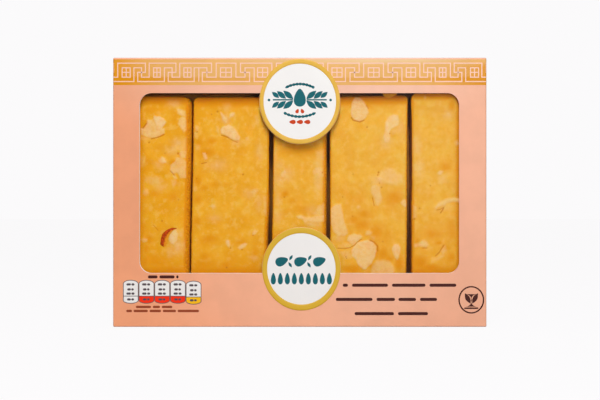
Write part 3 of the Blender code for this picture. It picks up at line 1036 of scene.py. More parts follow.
line_tree = bpy.data.node_groups.new("swept_lines", "GeometryNodeTree")
for label, side, kind in TREE_SOCKETS:
    line_tree.interface.new_socket(label, in_out=side, socket_type=kind)
given = line_tree.nodes.new("NodeGroupInput").outputs
to_curve = add_node(line_tree, "GeometryNodeMeshToCurve", {"Mesh": given["Geometry"]})
upright = add_node(line_tree, "GeometryNodeSetCurveNormal", {"Curve": to_curve.outputs["Curve"]}, mode="Z_UP")
profile_sizes = {"Width": given["Width"], "Height": given["Height"]}
profile = add_node(line_tree, "GeometryNodeCurvePrimitiveQuadrilateral", profile_sizes)
girth_in = add_node(line_tree, "GeometryNodeInputNamedAttribute", {"Name": "girth"}, data_type="FLOAT")
sweep = add_node(line_tree, "GeometryNodeCurveToMesh", {
    "Curve": upright.outputs["Curve"], "Profile Curve": profile.outputs["Curve"],
    "Scale": girth_in.outputs["Attribute"], "Fill Caps": True,
})
realized = add_node(line_tree, "GeometryNodeRealizeInstances", {"Geometry": sweep.outputs["Mesh"]})
to_paint = {"Geometry": realized.outputs["Geometry"], "Material": given["Ink"]}
painted = add_node(line_tree, "GeometryNodeSetMaterial", to_paint)
add_node(line_tree, "NodeGroupOutput", {"Geometry": painted.outputs["Geometry"]})
print(len(line_tree.nodes), "nodes sweep the lines")


# %% Lay the flat border round the carton
def wrapped(s, up, lift):
    """A place on the carton from the distance along its front, the height and the lift."""
    side, reach, arm = math.copysign(1, s), abs(s), FOLD_RADIUS + lift
    near_turn, far_turn = (reach - FLAT_HALF) / FOLD_RADIUS, (reach - FAR_FOLD) / FOLD_RADIUS
    if reach < FLAT_HALF:
        return Vector((s, FRONT_Y - lift, up))
    if reach < FLAT_HALF + FOLD_LENGTH:
        x, y = FLAT_HALF + arm * math.sin(near_turn), FRONT_Y + FOLD_RADIUS - arm * math.cos(near_turn)
    elif reach < FAR_FOLD:
        x, y = HALF_WIDTH + lift, FRONT_Y + FOLD_RADIUS + reach - FLAT_HALF - FOLD_LENGTH
    elif reach < FAR_FOLD + FOLD_LENGTH:
        x, y = FLAT_HALF + arm * math.cos(far_turn), BACK_Y - FOLD_RADIUS + arm * math.sin(far_turn)
    else:
        x, y = FLAT_HALF + FAR_FOLD + FOLD_LENGTH - reach, BACK_Y + lift
    return Vector((side * x, y, up))


line_sizes = {"Width": LINE_WIDTH, "Height": 2 * LINE_LIFT, "Ink": pale_pink}
key_mesh = run_tree("key_border", path_mesh, line_tree, line_sizes)
flat_heights = [round(v.co.z / MM, 3) for v in key_mesh.vertices]
print("strip lies", min(flat_heights), "to", max(flat_heights), "mm off the flat")
for vertex in key_mesh.vertices:
    s, up, lift = vertex.co
    vertex.co = bow(wrapped(s, up, max(-LINE_LIFT, min(LINE_LIFT, lift))))
for face in key_mesh.polygons:
    face.use_smooth = False
key_mesh.materials.clear()
add_piece("key_border", key_mesh, (pale_pink,))

# %% [markdown]
# ## Small print on the front
#
# The lower margin has small coloured panels on the left, and three lines of print and a round
# mark on the right. Bars stand in for words, in the places, lengths and colours of the real
# ones, and the round mark holds a leaf. They are placed by the pixels of the photograph.

# %% Word bars
BASE_LIFT = 0.04 * MM
UPPER_LIFT = 0.065 * MM
TOP_LIFT = 0.09 * MM
# Upper and lower edge of each line, and the left and right end of each word, in pixels
WORD_LINES = (
    (283.65, 286.75, ((342.7, 348), (352, 388), (392, 425.5), (429.5, 456.3))),
    (297.85, 300.95, ((335.8, 372.5), (376.5, 395), (398.5, 416), (420, 437))),
    (312.05, 315.15, ((354.6, 394), (398, 428))),
)
HEADING_LINES = ((275.4, 278.4, ((147.9, 157.6), (159.4, 174.6), (176.2, 178.6))),)
NOTE_LINES = (
    (305.7, 308.1, ((135.8, 151), (152.8, 160), (161.8, 172.3))),
    (309.7, 312.2, ((126.3, 132), (133.6, 147.8), (149.6, 161), (162.8, 176), (177.6, 199))),
)


def pixel_bar(left_px, right_px, top_px, foot_px):
    """A rounded bar between pixel bounds of the photograph."""
    left, high = at_pixel(left_px, top_px)
    right, low = at_pixel(right_px, foot_px)
    return bar(left, right, low, high)


PRINT_LINES = {"word_bars": ("brown", WORD_LINES), "caption_heading": ("brown", HEADING_LINES),
               "caption_notes": ("rust", NOTE_LINES)}
for name, (colour, lines) in PRINT_LINES.items():
    bars = [pixel_bar(left, right, top, foot) for top, foot, spans in lines for left, right in spans]
    print_plates(name, bars, dark_ink[colour], BASE_LIFT)

# %% Round mark with a leaf
MARK_PX = (471.3, 299.8)
MARK_REACH_PX = (12.9, 13.8)
MARK_LINE_PX = 1.4
MARK_SIDES = 64
mark_across, mark_up = at_pixel(*MARK_PX)
mark = Badge(mark_across, mark_up, None, None)
mark_outer = [reach * MM_PER_PX * MM for reach in MARK_REACH_PX]
mark_inner = [reach - MARK_LINE_PX * MM_PER_PX * MM for reach in mark_outer]
mark_outlines = [oval(mark, reach, sides=MARK_SIDES) for reach in (mark_inner, mark_outer)]
mark_ring = band_loop("round_mark", *mark_outlines, ((0.0, BASE_LIFT), (1.0, BASE_LIFT)))
add_piece("round_mark", mark_ring, (dark_ink["brown"],))
sprout = [
    leaf(on_badge(mark, -2.3, 0.9), 7.6 * MM, 3.0 * MM, 28),
    leaf(on_badge(mark, 2.4, 0.9), 7.6 * MM, 3.0 * MM, -28),
    bar(mark_across - 0.3 * MM, mark_across + 0.3 * MM, mark_up - 4.4 * MM, mark_up + 3.6 * MM),
    bar(mark_across - 4.6 * MM, mark_across + 4.6 * MM, mark_up - 5.9 * MM, mark_up - 4.9 * MM),
]
print_plates("round_mark_leaf", sprout, dark_ink["brown"], BASE_LIFT)

# %% Row of small coloured panels
PANEL_LEFT_PX = 123.0
PANEL_PITCH_PX = 15.7
PANEL_GAP_PX = 0.1
PANEL_EDGE_PX = 0.7
PANEL_TOP_PX = 283.8
PANEL_DIVIDE_PX = 296.1
PANEL_FOOT_PX = 300.4
PANEL_DOMES_PX = (3.9, 3.2)
PANEL_FIELDS = ("white", "red", "red", "red", "amber")
LAST_PANEL_LOWER_PX = 0.9
# Middle and length of the four rows, and where its two words lie and how long they are, as shares
PANEL_ROWS_PX = ((284.4, 8.6), (289.4, 7.0), (293.6, 8.6), (299.4, 7.4))
ROW_WORDS = ((-0.25, 0.52), (0.25, 0.36))
ROW_HALF_PX = 1.1

panel_outlines = {part: [] for part in ("edge", "white", "red", "amber", "rows")}
edge, rise, drop = (size_px * MM_PER_PX * MM for size_px in (PANEL_EDGE_PX, *PANEL_DOMES_PX))
for i, field in enumerate(PANEL_FIELDS):
    lower_px = LAST_PANEL_LOWER_PX if i == len(PANEL_FIELDS) - 1 else 0.0
    left_px = PANEL_LEFT_PX + i * PANEL_PITCH_PX
    right_px = left_px + PANEL_PITCH_PX - PANEL_GAP_PX
    left, high = at_pixel(left_px, PANEL_TOP_PX + lower_px)
    right, low = at_pixel(right_px, PANEL_FOOT_PX + lower_px)
    divide = at_pixel(0, PANEL_DIVIDE_PX + lower_px)[1]
    inner = (left + edge, right - edge)
    panel_outlines["edge"].append(arched(left, right, low, high, rise, drop))
    panel_outlines["white"].append(arched(*inner, divide + edge / 2, high, rise - edge, 0))
    panel_outlines[field].append(arched(*inner, low, divide - edge / 2, 0, drop - edge))
    for row_px, width_px in PANEL_ROWS_PX:
        row_top_px, row_foot_px = row_px + lower_px - ROW_HALF_PX, row_px + lower_px + ROW_HALF_PX
        for aside, share in ROW_WORDS:
            centre_px, half_px = (left_px + right_px) / 2 + aside * width_px, share * width_px / 2
            word = pixel_bar(centre_px - half_px, centre_px + half_px, row_top_px, row_foot_px)
            panel_outlines["rows"].append(word)
for part, part_ink, lift in (("edge", dark_ink["grey"], BASE_LIFT), ("white", white_ink, UPPER_LIFT),
                             ("red", dark_ink["red"], UPPER_LIFT), ("amber", dark_ink["amber"], UPPER_LIFT),
                             ("rows", dark_ink["grey"], TOP_LIFT)):
    print_plates(f"panel_{part}", panel_outlines[part], part_ink, lift)

# %% [markdown]
# ## The back
#
# The photograph doesn't show the back. Cartons of this kind have a pale field there with small
# print, so it gets one, with bars for words. It is cut into a grid before it is bowed, so that it
# stays on the board where the board pulls in.

# %% Pale field and bars on the back
BACK_FIELD = (-84 * MM, 84 * MM, 26 * MM, 138 * MM)
BACK_COLUMNS = (-76, 4)
BACK_LINES = 13
BACK_PARAGRAPH = 5
BACK_PITCH = 7.4
BACK_TOP = 129
FULL_LINE = 72
SHORT_LINE = (38, 60)
WORD_LENGTH = (5, 17)
BACK_HEADING = (34, 2.8)
BACK_WORD_HEIGHT = 1.5
BACK_WORD_GAP = 1.8


def back_bar(across, up, length, height):
    """A bar of print on the back, in millimetres."""
    return bar(across * MM, (across + length) * MM, up * MM, (up + height) * MM)


builder = bmesh.new()
builder.from_mesh(plates("back_flat", [bar(*BACK_FIELD, round_share=0.06)], 0, face_y=0, outward=1))
slice_builder(builder, 0, stops(-HALF_WIDTH, HALF_WIDTH, GRID_STEP))
slice_builder(builder, 2, stops(0, BAND_LOW, GRID_STEP))
for vertex in builder.verts:
    near = vertex.co.y > -PRINT_SINK / 2
    vertex.co.y = BACK_Y + (BASE_LIFT if near else -PRINT_SINK)
    vertex.co = bow(vertex.co)
add_piece("back_field", to_mesh("back_field", builder), (white_ink,))

draw = random.Random(11)
back_bars = []
for column_left in BACK_COLUMNS:
    for line in range(BACK_LINES):
        across, up = column_left, BACK_TOP - line * BACK_PITCH
        end = column_left + (FULL_LINE if line % BACK_PARAGRAPH else draw.uniform(*SHORT_LINE))
        if line == 0:
            back_bars.append(back_bar(across, up, *BACK_HEADING))
            continue
        while across < end - WORD_LENGTH[0]:
            length = min(draw.uniform(*WORD_LENGTH), end - across)
            back_bars.append(back_bar(across, up, length, BACK_WORD_HEIGHT))
            across += length + BACK_WORD_GAP
print_plates("back_bars", back_bars, dark_ink["brown"], TOP_LIFT, face_y=BACK_Y, outward=1)

# %% [markdown]
# ## Window film and tray
#
# The film is a clear sheet glued behind the window. It is far thinner than the solid that stands
# for it, so a thin closed sheet takes its place, with long shallow waves, as film is never quite
# flat. It mostly lets light through, and shows itself by a slight haze and a soft shine. The
# tray is formed from brown sheet, and its solid already has its form, so it only gets a finish,
# with painted shade that makes it darker towards the foot.

# %% Film
FILM_SHEET = 0.05 * MM
FILM_WAVE = 0.12 * MM
FILM_WAVE_LENGTH = 60 * MM
FILM_TINT = (0.1, 0.1, 0.1, 1)
FILM_HAZE = 0.02


def film_finish(name):
    """Film that mostly lets light through, with a slight haze and a soft shine."""
    finish, tree, shader, place = start_finish(name)
    smear = grain(tree, place, 20 * MM, detail=3.0)
    fill_inputs(tree, shader, {
        "Base Color": FILM_TINT,
        "Alpha": FILM_HAZE,
        "Roughness": ranged(tree, smear, 0.3, 0.7, 0.12, 0.2),
        "Normal": bumped(tree, grain(tree, place, 35 * MM, detail=1.0), 0.15 * MM),
    })
    return finish


sheet_front = film_low.y + FILM_WAVE
sheet_low = (film_low.x, sheet_front, film_low.z)
builder = box_builder(sheet_low, (film_high.x, sheet_front + FILM_SHEET, film_high.z))
slice_builder(builder, 0, stops(film_low.x, film_high.x, GRID_STEP))
slice_builder(builder, 2, stops(film_low.z, film_high.z, GRID_STEP))
for vertex in builder.verts:
    x, y, z = vertex.co
    vertex.co.y += FILM_WAVE * noise.noise(Vector((x, 0.4, z)) / FILM_WAVE_LENGTH)
film_mesh = to_mesh("clear_window", builder)
for face in film_mesh.polygons:
    face.use_smooth = abs(face.normal.y) > 0.5
add_piece("clear_window", film_mesh, (film_finish("clear_film"),), ("window_film",))

# %% Tray finish
TRAY_BROWN = (0.86, 0.37, 0.035, 1)
TRAY_PALE = (0.98, 0.45, 0.055, 1)
TRAY_FOOT_SHADE = (0.17, 0.05, 0.004, 1)


def tray_finish(name):
    """Formed brown plastic, with painted shade: far darker at the foot than at the top, as in the photograph.
    """
    finish, tree, shader, place = start_finish(name)
    cloud = ranged(tree, grain(tree, place, 12 * MM, detail=3.0), 0.3, 0.7)
    # Painted shade: the brown darkens towards the foot
    rise = ranged(tree, across_and_up(tree, place)[1], 35 * MM, 140 * MM)
    fine = grain(tree, place, 0.8 * MM, detail=3.0)
    fill_inputs(tree, shader, {
        "Base Color": blend(tree, rise, TRAY_FOOT_SHADE, blend(tree, cloud, TRAY_BROWN, TRAY_PALE)),
        "Roughness": ranged(tree, fine, 0.2, 0.8, 0.38, 0.52),
        "Specular IOR Level": 0.1,
        "Normal": bumped(tree, fine, 0.02 * MM),
    })
    return finish


tray = frame["nodes"]["tray"]
tray.material_slots[0].material = tray_finish("formed_brown_plastic")
print("tray wears", tray.material_slots[0].material.name)

# %% [markdown]
# ## The form of a slice
#
# Each slice is a bar cut from one big baked and glazed sheet. Its glazed top faces the window, and
# the knife leaves its two long sides almost straight, with a slight lean and wave. The solids
# already hold that form, from a few named sizes. Here the same sizes give a much finer mesh, under
# half a millimetre a step, so that almonds, creases and pits can be real relief for the light.
# The mesh is worked out with arrays: rows go up the slice and columns go round it. On some sides
# the knife dragged the crumb outwards, so the side slopes away from the glaze. Those shoulders
# catch the light, and are the orange bands beside the dark slots in the photograph. Some upper
# corners are round, where the sheet sank at its rim.

# %% Sizes of the cake
CAKE_RELIEF = 0.35 * MM
RELIEF_SCALE = 11 * MM
CUT_WAVE = 0.35 * MM
CUT_SCALE = 38 * MM
CAKE_TOP_Y = FRONT_Y + 4.65 * MM
CAKE_BACK_Y = CAKE_TOP_Y + 29.3 * MM
CAKE_FOOT_Z = 1.8 * MM
END_ROUND = 1.6 * MM

# Where a sloping side starts and ends, how deep it reaches, and the share of it left higher up
Shoulder = namedtuple("Shoulder", "inner outer deep upper", defaults=(1,))
PLAIN = Shoulder(-0.7, 0.0, 1.1)
# Both edges of the glaze and of the back, how far those of the glaze lean, and the height, in mm.
# Then what a slice may have of its own: a bend low down, the radius of its upper corners, its
# sloping sides, a top that tilts or leans out, how far painted shade reaches down from its end,
# and how strong the painted shade at the window's foot is
Slice = namedtuple("Slice", "glazed under lean top bend corners sides tilt leans_out browned_to foot_shade",
                   defaults=((0, 0), (1.2, 1.2), (PLAIN, PLAIN), 0, 0, 8.5, 0.72))
SLICES = {
    "slice_1": Slice((-117.9, -73.5), (-117.9, -71.9), (0, -1.3), 148.6, corners=(1.2, 6.0),
                     sides=(PLAIN, Shoulder(-0.1, 3.0, 4.2))),
    "slice_2": Slice((-69.6, -20.1), (-69.6, -19.4), (-1.3, -0.25), 148.0, bend=(0, -2.15),
                     corners=(3.2, 1.2), sides=(PLAIN, Shoulder(-0.1, 1.7, 5.2, 0.15))),
    "slice_3": Slice((-17.8, 15.7), (-17.7, 17.6), (-1.5, -0.4), 147.8,
                     sides=(PLAIN, Shoulder(-0.1, 1.7, 3.4))),
    "slice_4": Slice((19.6, 69.1), (19.8, 69.8), (0, -0.8), 148.3, corners=(1.2, 3.0), tilt=0.9,
                     foot_shade=0.2),
    "slice_5": Slice((72.75, 117.9), (73.1, 117.9), (0.25, 0), 151.3, corners=(5.5, 1.2),
                     sides=(Shoulder(-0.1, 0.9, 2.6, 0.1), PLAIN), leans_out=1.5, browned_to=7.0),
}


def soft_step(values, low, high):
    """Goes smoothly from 0 to 1 as values go from low to high."""
    share = np.clip((values - low) / (high - low), 0, 1)
    return share * share * (3 - 2 * share)


def noise_map(across, up, size, depth=0.0):
    """Noise from -1 to 1 for every point of two arrays, with lumps of a given size."""
    flat = [noise.noise(Vector((x / size, depth, z / size))) for x, z in zip(across.ravel(), up.ravel())]
    return np.array(flat).reshape(across.shape)


def edge_line(shape, edge, up):
    """Where one long edge of the glaze lies across, at heights up."""
    middle = (CAKE_FOOT_Z + shape.top * MM) / 2
    fall = (middle - up) / middle
    glazed = shape.glazed[edge] * MM
    moved = shape.lean[edge] * fall + shape.bend[edge] * soft_step(fall, -0.35, 0.25)
    return glazed + moved * MM + CUT_WAVE * noise_map(np.full_like(up, glazed), up, CUT_SCALE, 3.7)


for name, shape in SLICES.items():
    print(name, "is", round(shape.glazed[1] - shape.glazed[0], 1), "mm wide in front")

# %% [markdown]
# ## Where the almonds lie
#
# Flaked almonds make this cake recognisable, so they lie where the photograph has them. A flake
# is a thin leaf of almond with a broken edge, pressed into the glaze: some lie on top and are
# clear and pale, others have sunk and only make the glaze paler. So each has an outline of a few
# corners, read off the photograph in pixels, with its paleness, its height and how crisp its edge
# is. Creases, pits, darker patches of pooled glaze and sunken almonds are lines and spots in the
# same way. The flakes low on each slice, behind the board, are the solids' own.

# %% Flakes, in pixels of the photograph
CAKE_MM_PER_PX = 0.6457
PICTURE_MIDDLE_UP = 81.56


def on_cake(across_px, down_px):
    """A pixel of the photograph on the plane of the glaze, as (across, up) in metres."""
    return ((across_px - MIDLINE_PX) * CAKE_MM_PER_PX * MM,
            (PICTURE_MIDDLE_UP + (200 - down_px) * CAKE_MM_PER_PX) * MM)


# Paleness, height in mm, crispness of the edge, and the corners of the outline
FLAKES = {
    "slice_1": (
        (0.72, 0.22, 0.8, ((141, 129), (145, 127), (147, 123), (148, 120), (153, 119.5), (157, 126),
            (160, 130.5), (164, 128), (164.5, 133), (160, 136), (153, 138), (147, 137), (141.5, 135))),
        (1.0, 0.3, 0.9, ((154, 116), (160, 116.3), (163.5, 118.5), (166, 122), (164, 125.5), (161, 130),
            (157.5, 129), (155, 123), (153.5, 119))),
        (0.7, 0.2, 0.7, ((179, 120), (181, 117), (185.5, 117), (186, 130), (184, 132.5), (181, 128),
            (178.5, 124))),
        (0.75, 0.2, 0.7, ((177, 109), (179, 108.5), (185, 111.5), (186, 116.5), (182, 116), (178.5, 113))),
        (0.35, 0.12, 0.2, ((170, 146), (178, 142), (186, 138), (186, 150), (176, 152))),
        (0.6, 0.2, 0.8, ((180, 150.5), (186, 151), (186, 158), (181, 158), (179.5, 154))),
        (0.62, 0.25, 0.9, ((177, 157.5), (182, 158), (186, 161), (186, 178), (180.5, 178), (177, 172.5),
            (172, 174), (170, 169), (171, 165), (175, 161.5))),
        (0.6, 0.15, 0.7, ((175, 175), (177, 178.5), (174, 179), (172.5, 175.5))),
        (0.8, 0.22, 0.8, ((162, 156.5), (165, 158), (166, 162), (163, 164), (159.5, 162.5),
            (158.5, 160.5))),
        (0.35, 0.12, 0.2, ((146, 177), (152, 176), (160, 177), (164, 181), (160, 184), (150, 184),
            (145, 180))),
        (0.35, 0.12, 0.4, ((171, 180), (175, 179), (177, 183), (173, 188))),
        (0.4, 0.12, 0.5, ((144, 190), (147.5, 190), (149, 193), (146.5, 195.5), (143.5, 194))),
        (0.32, 0.1, 0.2, ((141.5, 157), (145, 157), (145, 165), (142, 166))),
        (0.9, 0.3, 0.8, ((172, 231), (176, 229.5), (178.5, 234), (177.5, 240), (174, 245), (170.5, 243),
            (169, 239), (170, 234))),
        (0.4, 0.12, 0.4, ((178, 229), (183, 231), (182, 238), (179, 236))),
        (0.3, 0.1, 0.2, ((166, 247), (174, 246), (176, 256), (168, 257))),
        (0.6, 0.18, 0.7, ((141.5, 239.5), (144, 238.2), (147, 239.5), (146.5, 241.5), (143, 242))),
    ),
    "slice_2": (
        (0.8, 0.22, 0.7, ((220.5, 112), (224, 115), (227.5, 119), (227, 123), (225, 123), (222.5, 119))),
        (0.8, 0.22, 0.7, ((229.5, 115), (232, 112), (234.5, 113), (233.5, 116), (231, 117.5), (228, 119))),
        (0.92, 0.3, 0.9, ((222, 127), (225, 126), (229, 124.5), (233, 127), (237, 132), (240, 137),
            (239.5, 140), (236, 140.5), (230, 138.5), (226, 135.5), (221, 133), (220.5, 130))),
        (0.75, 0.22, 0.9, ((202.5, 153), (205.5, 153), (208, 159), (205, 159.5), (203, 156.5))),
        (0.4, 0.12, 0.5, ((216.5, 126), (218.5, 127), (218.5, 132), (216.5, 131))),
        (0.42, 0.12, 0.5, ((195, 126.5), (198.5, 126.5), (198, 130), (195.5, 130))),
        (0.4, 0.12, 0.4, ((194.5, 132), (197.5, 133), (197, 138), (194.5, 137))),
        (0.36, 0.12, 0.4, ((194.5, 145), (199.5, 146), (199.5, 149.5), (197, 149))),
        (0.5, 0.14, 0.6, ((245, 138), (248, 137), (248.5, 139.5), (246, 140))),
        (0.35, 0.1, 0.3, ((255, 116), (258, 116), (258, 125), (255.5, 124))),
        (0.6, 0.14, 0.4, ((210, 206), (213, 204.5), (216, 206.5), (212.5, 208))),
        (0.45, 0.12, 0.4, ((250, 192), (254, 188.5), (258, 190), (257, 194), (252, 195.5))),
        (0.45, 0.12, 0.5, ((192.5, 187), (196.5, 187), (197, 190), (194, 191.5))),
        (0.4, 0.1, 0.2, ((263, 196), (266.5, 196), (266.5, 216), (264, 214))),
        (0.7, 0.2, 0.8, ((252.5, 232), (255, 230), (258, 231), (255.5, 234), (252.5, 234.5))),
        (0.75, 0.22, 0.8, ((226, 240), (229, 240), (230.5, 244), (229, 247), (227, 245), (225.5, 242.5))),
        (0.75, 0.22, 0.8, ((238, 247.5), (241, 244.5), (245, 243), (247, 244), (244, 247.5), (240, 249.5))),
        (0.35, 0.1, 0.3, ((248, 256.5), (256, 256), (259, 259), (254, 261))),
    ),
    "slice_3": (
        (0.7, 0.2, 0.6, ((282, 172), (284.5, 169.5), (286.5, 172), (285, 176.5), (282, 178), (280.5, 176))),
        (0.6, 0.18, 0.4, ((313, 171), (316, 167), (320, 166.5), (323, 168), (323, 176), (319, 178),
            (315, 177))),
        (0.4, 0.12, 0.2, ((316, 151), (324, 150), (324, 160), (317, 160))),
        (0.7, 0.25, 0.7, ((296.5, 216.5), (300.5, 215), (305, 217), (310, 217.5), (316, 216), (324, 215),
            (324, 221), (318, 222.5), (308, 221.5), (304.5, 222.5), (303, 219.5), (299, 218.5))),
        (0.5, 0.15, 0.4, ((313, 213), (318, 206), (324, 203.5), (324, 214), (316, 215.5))),
        (0.4, 0.12, 0.2, ((304, 222), (321, 221), (321, 226), (308, 226))),
        (0.3, 0.1, 0.1, ((273.5, 148), (277, 148), (277, 190), (273.5, 190))),
    ),
    "slice_4": (
        (0.9, 0.3, 0.8, ((356, 97), (359.5, 98.5), (364, 103), (367, 108), (368.3, 113), (366.5, 117),
            (363, 120.5), (359, 121.5), (354.5, 120), (351.5, 116), (351, 110), (352, 104), (353.5, 100))),
        (0.95, 0.28, 0.7, ((390, 117), (394, 115.5), (398, 117), (399, 121), (398, 126), (394.5, 127.5),
            (391, 129.5), (389.5, 132), (390, 135), (390, 139), (388, 143), (384.5, 142), (383, 137),
            (385, 133), (385, 128), (385.5, 123), (388, 119))),
        (0.35, 0.12, 0.3, ((391, 131), (396, 129), (398, 131), (395, 134), (392, 134))),
        (0.3, 0.1, 0.2, ((383, 144), (390, 144), (390, 149), (384, 149))),
        (0.5, 0.18, 0.3, ((381, 172), (386, 169), (391, 168), (397, 172), (403, 176), (402, 182),
            (396, 185), (388, 184), (381, 184), (378, 181), (377.5, 176.5))),
        (0.85, 0.22, 0.5, ((376, 177), (382, 176.5), (383, 179.5), (379, 181.5))),
        (0.62, 0.24, 0.6, ((372, 186), (376, 184.5), (379.5, 187), (380.5, 192), (381.5, 198), (380, 203),
            (378, 205.5), (375.5, 204), (374, 198), (371.5, 193), (371, 188))),
        (0.62, 0.2, 0.8, ((400.5, 202), (404, 199.5), (407, 200), (407, 207), (403, 206), (401, 204))),
        (0.68, 0.28, 0.8, ((330.5, 209), (336, 204), (341, 204), (343, 215), (345, 225), (348, 233),
            (344, 236), (338, 236), (334, 232), (330.5, 222))),
        (0.6, 0.15, 0.6, ((356.5, 207), (358.5, 205.5), (360, 207), (358, 208.5))),
        (0.6, 0.2, 0.6, ((366, 232), (369, 230), (372, 232.5), (370, 235), (366, 234.5))),
        (0.4, 0.12, 0.4, ((370, 236), (375, 236.5), (374, 239))),
        (0.78, 0.26, 0.8, ((349, 235.5), (354, 234), (360, 235), (362, 236.5), (359, 240), (356, 242.5),
            (352.5, 245.5), (350, 243), (347, 240))),
        (0.5, 0.15, 0.4, ((343, 243.5), (348, 245.5), (350, 247), (344, 247.5))),
        (0.82, 0.35, 0.9, ((357, 243), (362, 241), (368, 240.5), (373, 242.5), (376, 246), (376, 251),
            (375, 256), (373, 260), (371, 264), (368, 266.5), (366, 269), (363.5, 269.5), (361, 267.5),
            (357.5, 264), (355.5, 259), (352, 256), (351, 251.5), (353.5, 247))),
        (0.42, 0.14, 0.3, ((340, 252), (350, 250), (352, 257), (345, 259))),
        (0.85, 0.28, 0.8, ((394, 244.5), (398, 244.5), (400.3, 248), (400, 252.5), (398.5, 257),
            (397, 259.5), (395, 257.5), (393, 253), (392, 248.5))),
        (0.55, 0.22, 0.5, ((372, 267), (376, 261), (382, 260.5), (389, 261.5), (393, 266), (394, 276),
            (371, 276))),
    ),
    "slice_5": (
        (0.62, 0.18, 0.6, ((446, 113.5), (449, 112), (451, 114), (451.5, 117.5), (450, 116), (447, 115))),
        (0.88, 0.2, 0.7, ((438, 172.5), (440, 170.5), (442.5, 171.5), (442, 174), (439.5, 175),
            (438, 174))),
        (0.32, 0.1, 0.2, ((438, 176), (445, 175), (446, 182), (439, 183))),
        (0.55, 0.15, 0.3, ((413.5, 165), (417, 163), (420, 165), (423, 169), (421, 173), (418, 171),
            (414, 171))),
        (0.5, 0.14, 0.4, ((454, 142), (457, 140.5), (459, 144), (456, 145.5))),
        (0.4, 0.12, 0.6, ((423.5, 97), (425, 96), (426, 98), (424.5, 99))),
        (0.68, 0.34, 0.6, ((435, 207), (438, 203), (443, 200.5), (449, 198.3), (455, 198), (460, 199),
            (460, 202), (453, 201.5), (447, 202.5), (444, 205.5), (438, 206.8), (436, 209))),
        (0.72, 0.22, 0.6, ((414, 245), (418, 243), (423, 240.5), (427, 242), (428.5, 245), (426, 247),
            (420, 246.5), (415, 247))),
        (0.5, 0.15, 0.4, ((442, 249), (445, 246), (446, 250), (443, 254))),
        (0.4, 0.14, 0.3, ((433, 258), (439, 256), (444, 255), (438, 260), (431, 263))),
        (0.42, 0.12, 0.3, ((413.2, 206), (416, 207), (416, 217), (413.2, 218))),
    ),
}
print(sum(len(rows) for rows in FLAKES.values()), "flakes with outlines")

# %% Creases, pits and pooled glaze
# Depth and half-width in mm, and the line in pixels
CREASES = {
    "slice_1": (
        (0.2, 0.5, ((151.5, 138.8), (157, 137.6), (160, 136.6), (164, 134.5))),
        (0.28, 0.55, ((143, 128), (146.5, 123.5))),
        (0.3, 0.35, ((170.5, 171), (174.5, 175.5))),
        (0.25, 0.3, ((153.5, 225), (158, 230.5))),
    ),
    "slice_2": (
        (0.2, 0.5, ((221.5, 135.2), (225, 136.3), (228.5, 137.8))),
        (0.16, 0.4, ((228.5, 137.8), (232.5, 140.5), (237.5, 142.5))),
        (0.3, 0.4, ((201.5, 163.6), (206.5, 162.6))),
    ),
    "slice_4": (
        (0.2, 0.5, ((351.3, 118), (353, 120.5), (356, 121.3), (360, 122.3), (364, 120.6))),
        (0.16, 0.45, ((366.3, 106), (368.3, 109))),
        (0.3, 0.3, ((372.3, 197.5), (374.2, 206))),
        (0.24, 0.35, ((337.5, 248.4), (345, 248.6), (350, 247.6), (354.5, 245.2), (357.5, 241.8),
            (361.5, 239.2))),
        (0.2, 0.55, ((370, 240.2), (374, 242.2), (377.4, 246), (377.6, 251))),
    ),
    "slice_5": (
        (0.2, 0.3, ((436.5, 210), (440, 209.3), (444, 207.2))),
        (0.3, 0.4, ((440.5, 213), (443.5, 208.5))),
        (0.4, 0.35, ((444, 245), (442, 248), (439.5, 252), (435.5, 256))),
        (0.3, 0.35, ((422.5, 248), (427, 248))),
    ),
}
# Place in pixels and radius in mm
PITS = {
    "slice_1": ((149, 142.5, 0.7), (178, 153.5, 0.8), (165, 153.5, 0.45), (162, 221, 0.6),
                (178.7, 199.8, 0.5)),
    "slice_2": ((217.5, 111.6, 0.75), (211.5, 114.5, 0.5), (206.5, 153.5, 0.5), (197, 132, 0.6),
                (243, 174.5, 0.7), (196.5, 178.6, 0.5), (230.4, 248, 0.6), (253, 235.5, 0.5),
                (242, 249.6, 0.6), (226.6, 267.5, 0.75)),
    "slice_3": ((284.3, 197, 0.6), (322.5, 172.5, 0.5)),
    "slice_4": ((378.5, 172.4, 0.8), (377.8, 175, 0.6), (379.4, 183.2, 0.45), (381.5, 187.5, 0.6),
                (389.6, 134, 0.6), (352.9, 174.2, 0.5), (367, 127.5, 0.6), (382.6, 241.6, 0.55),
                (345.8, 256.8, 0.5), (346.5, 258.4, 0.45), (352.5, 216.5, 0.5), (342.5, 197, 0.5)),
    "slice_5": ((430.4, 185.7, 0.5), (419.6, 208.4, 0.6), (414.2, 219, 0.8)),
}
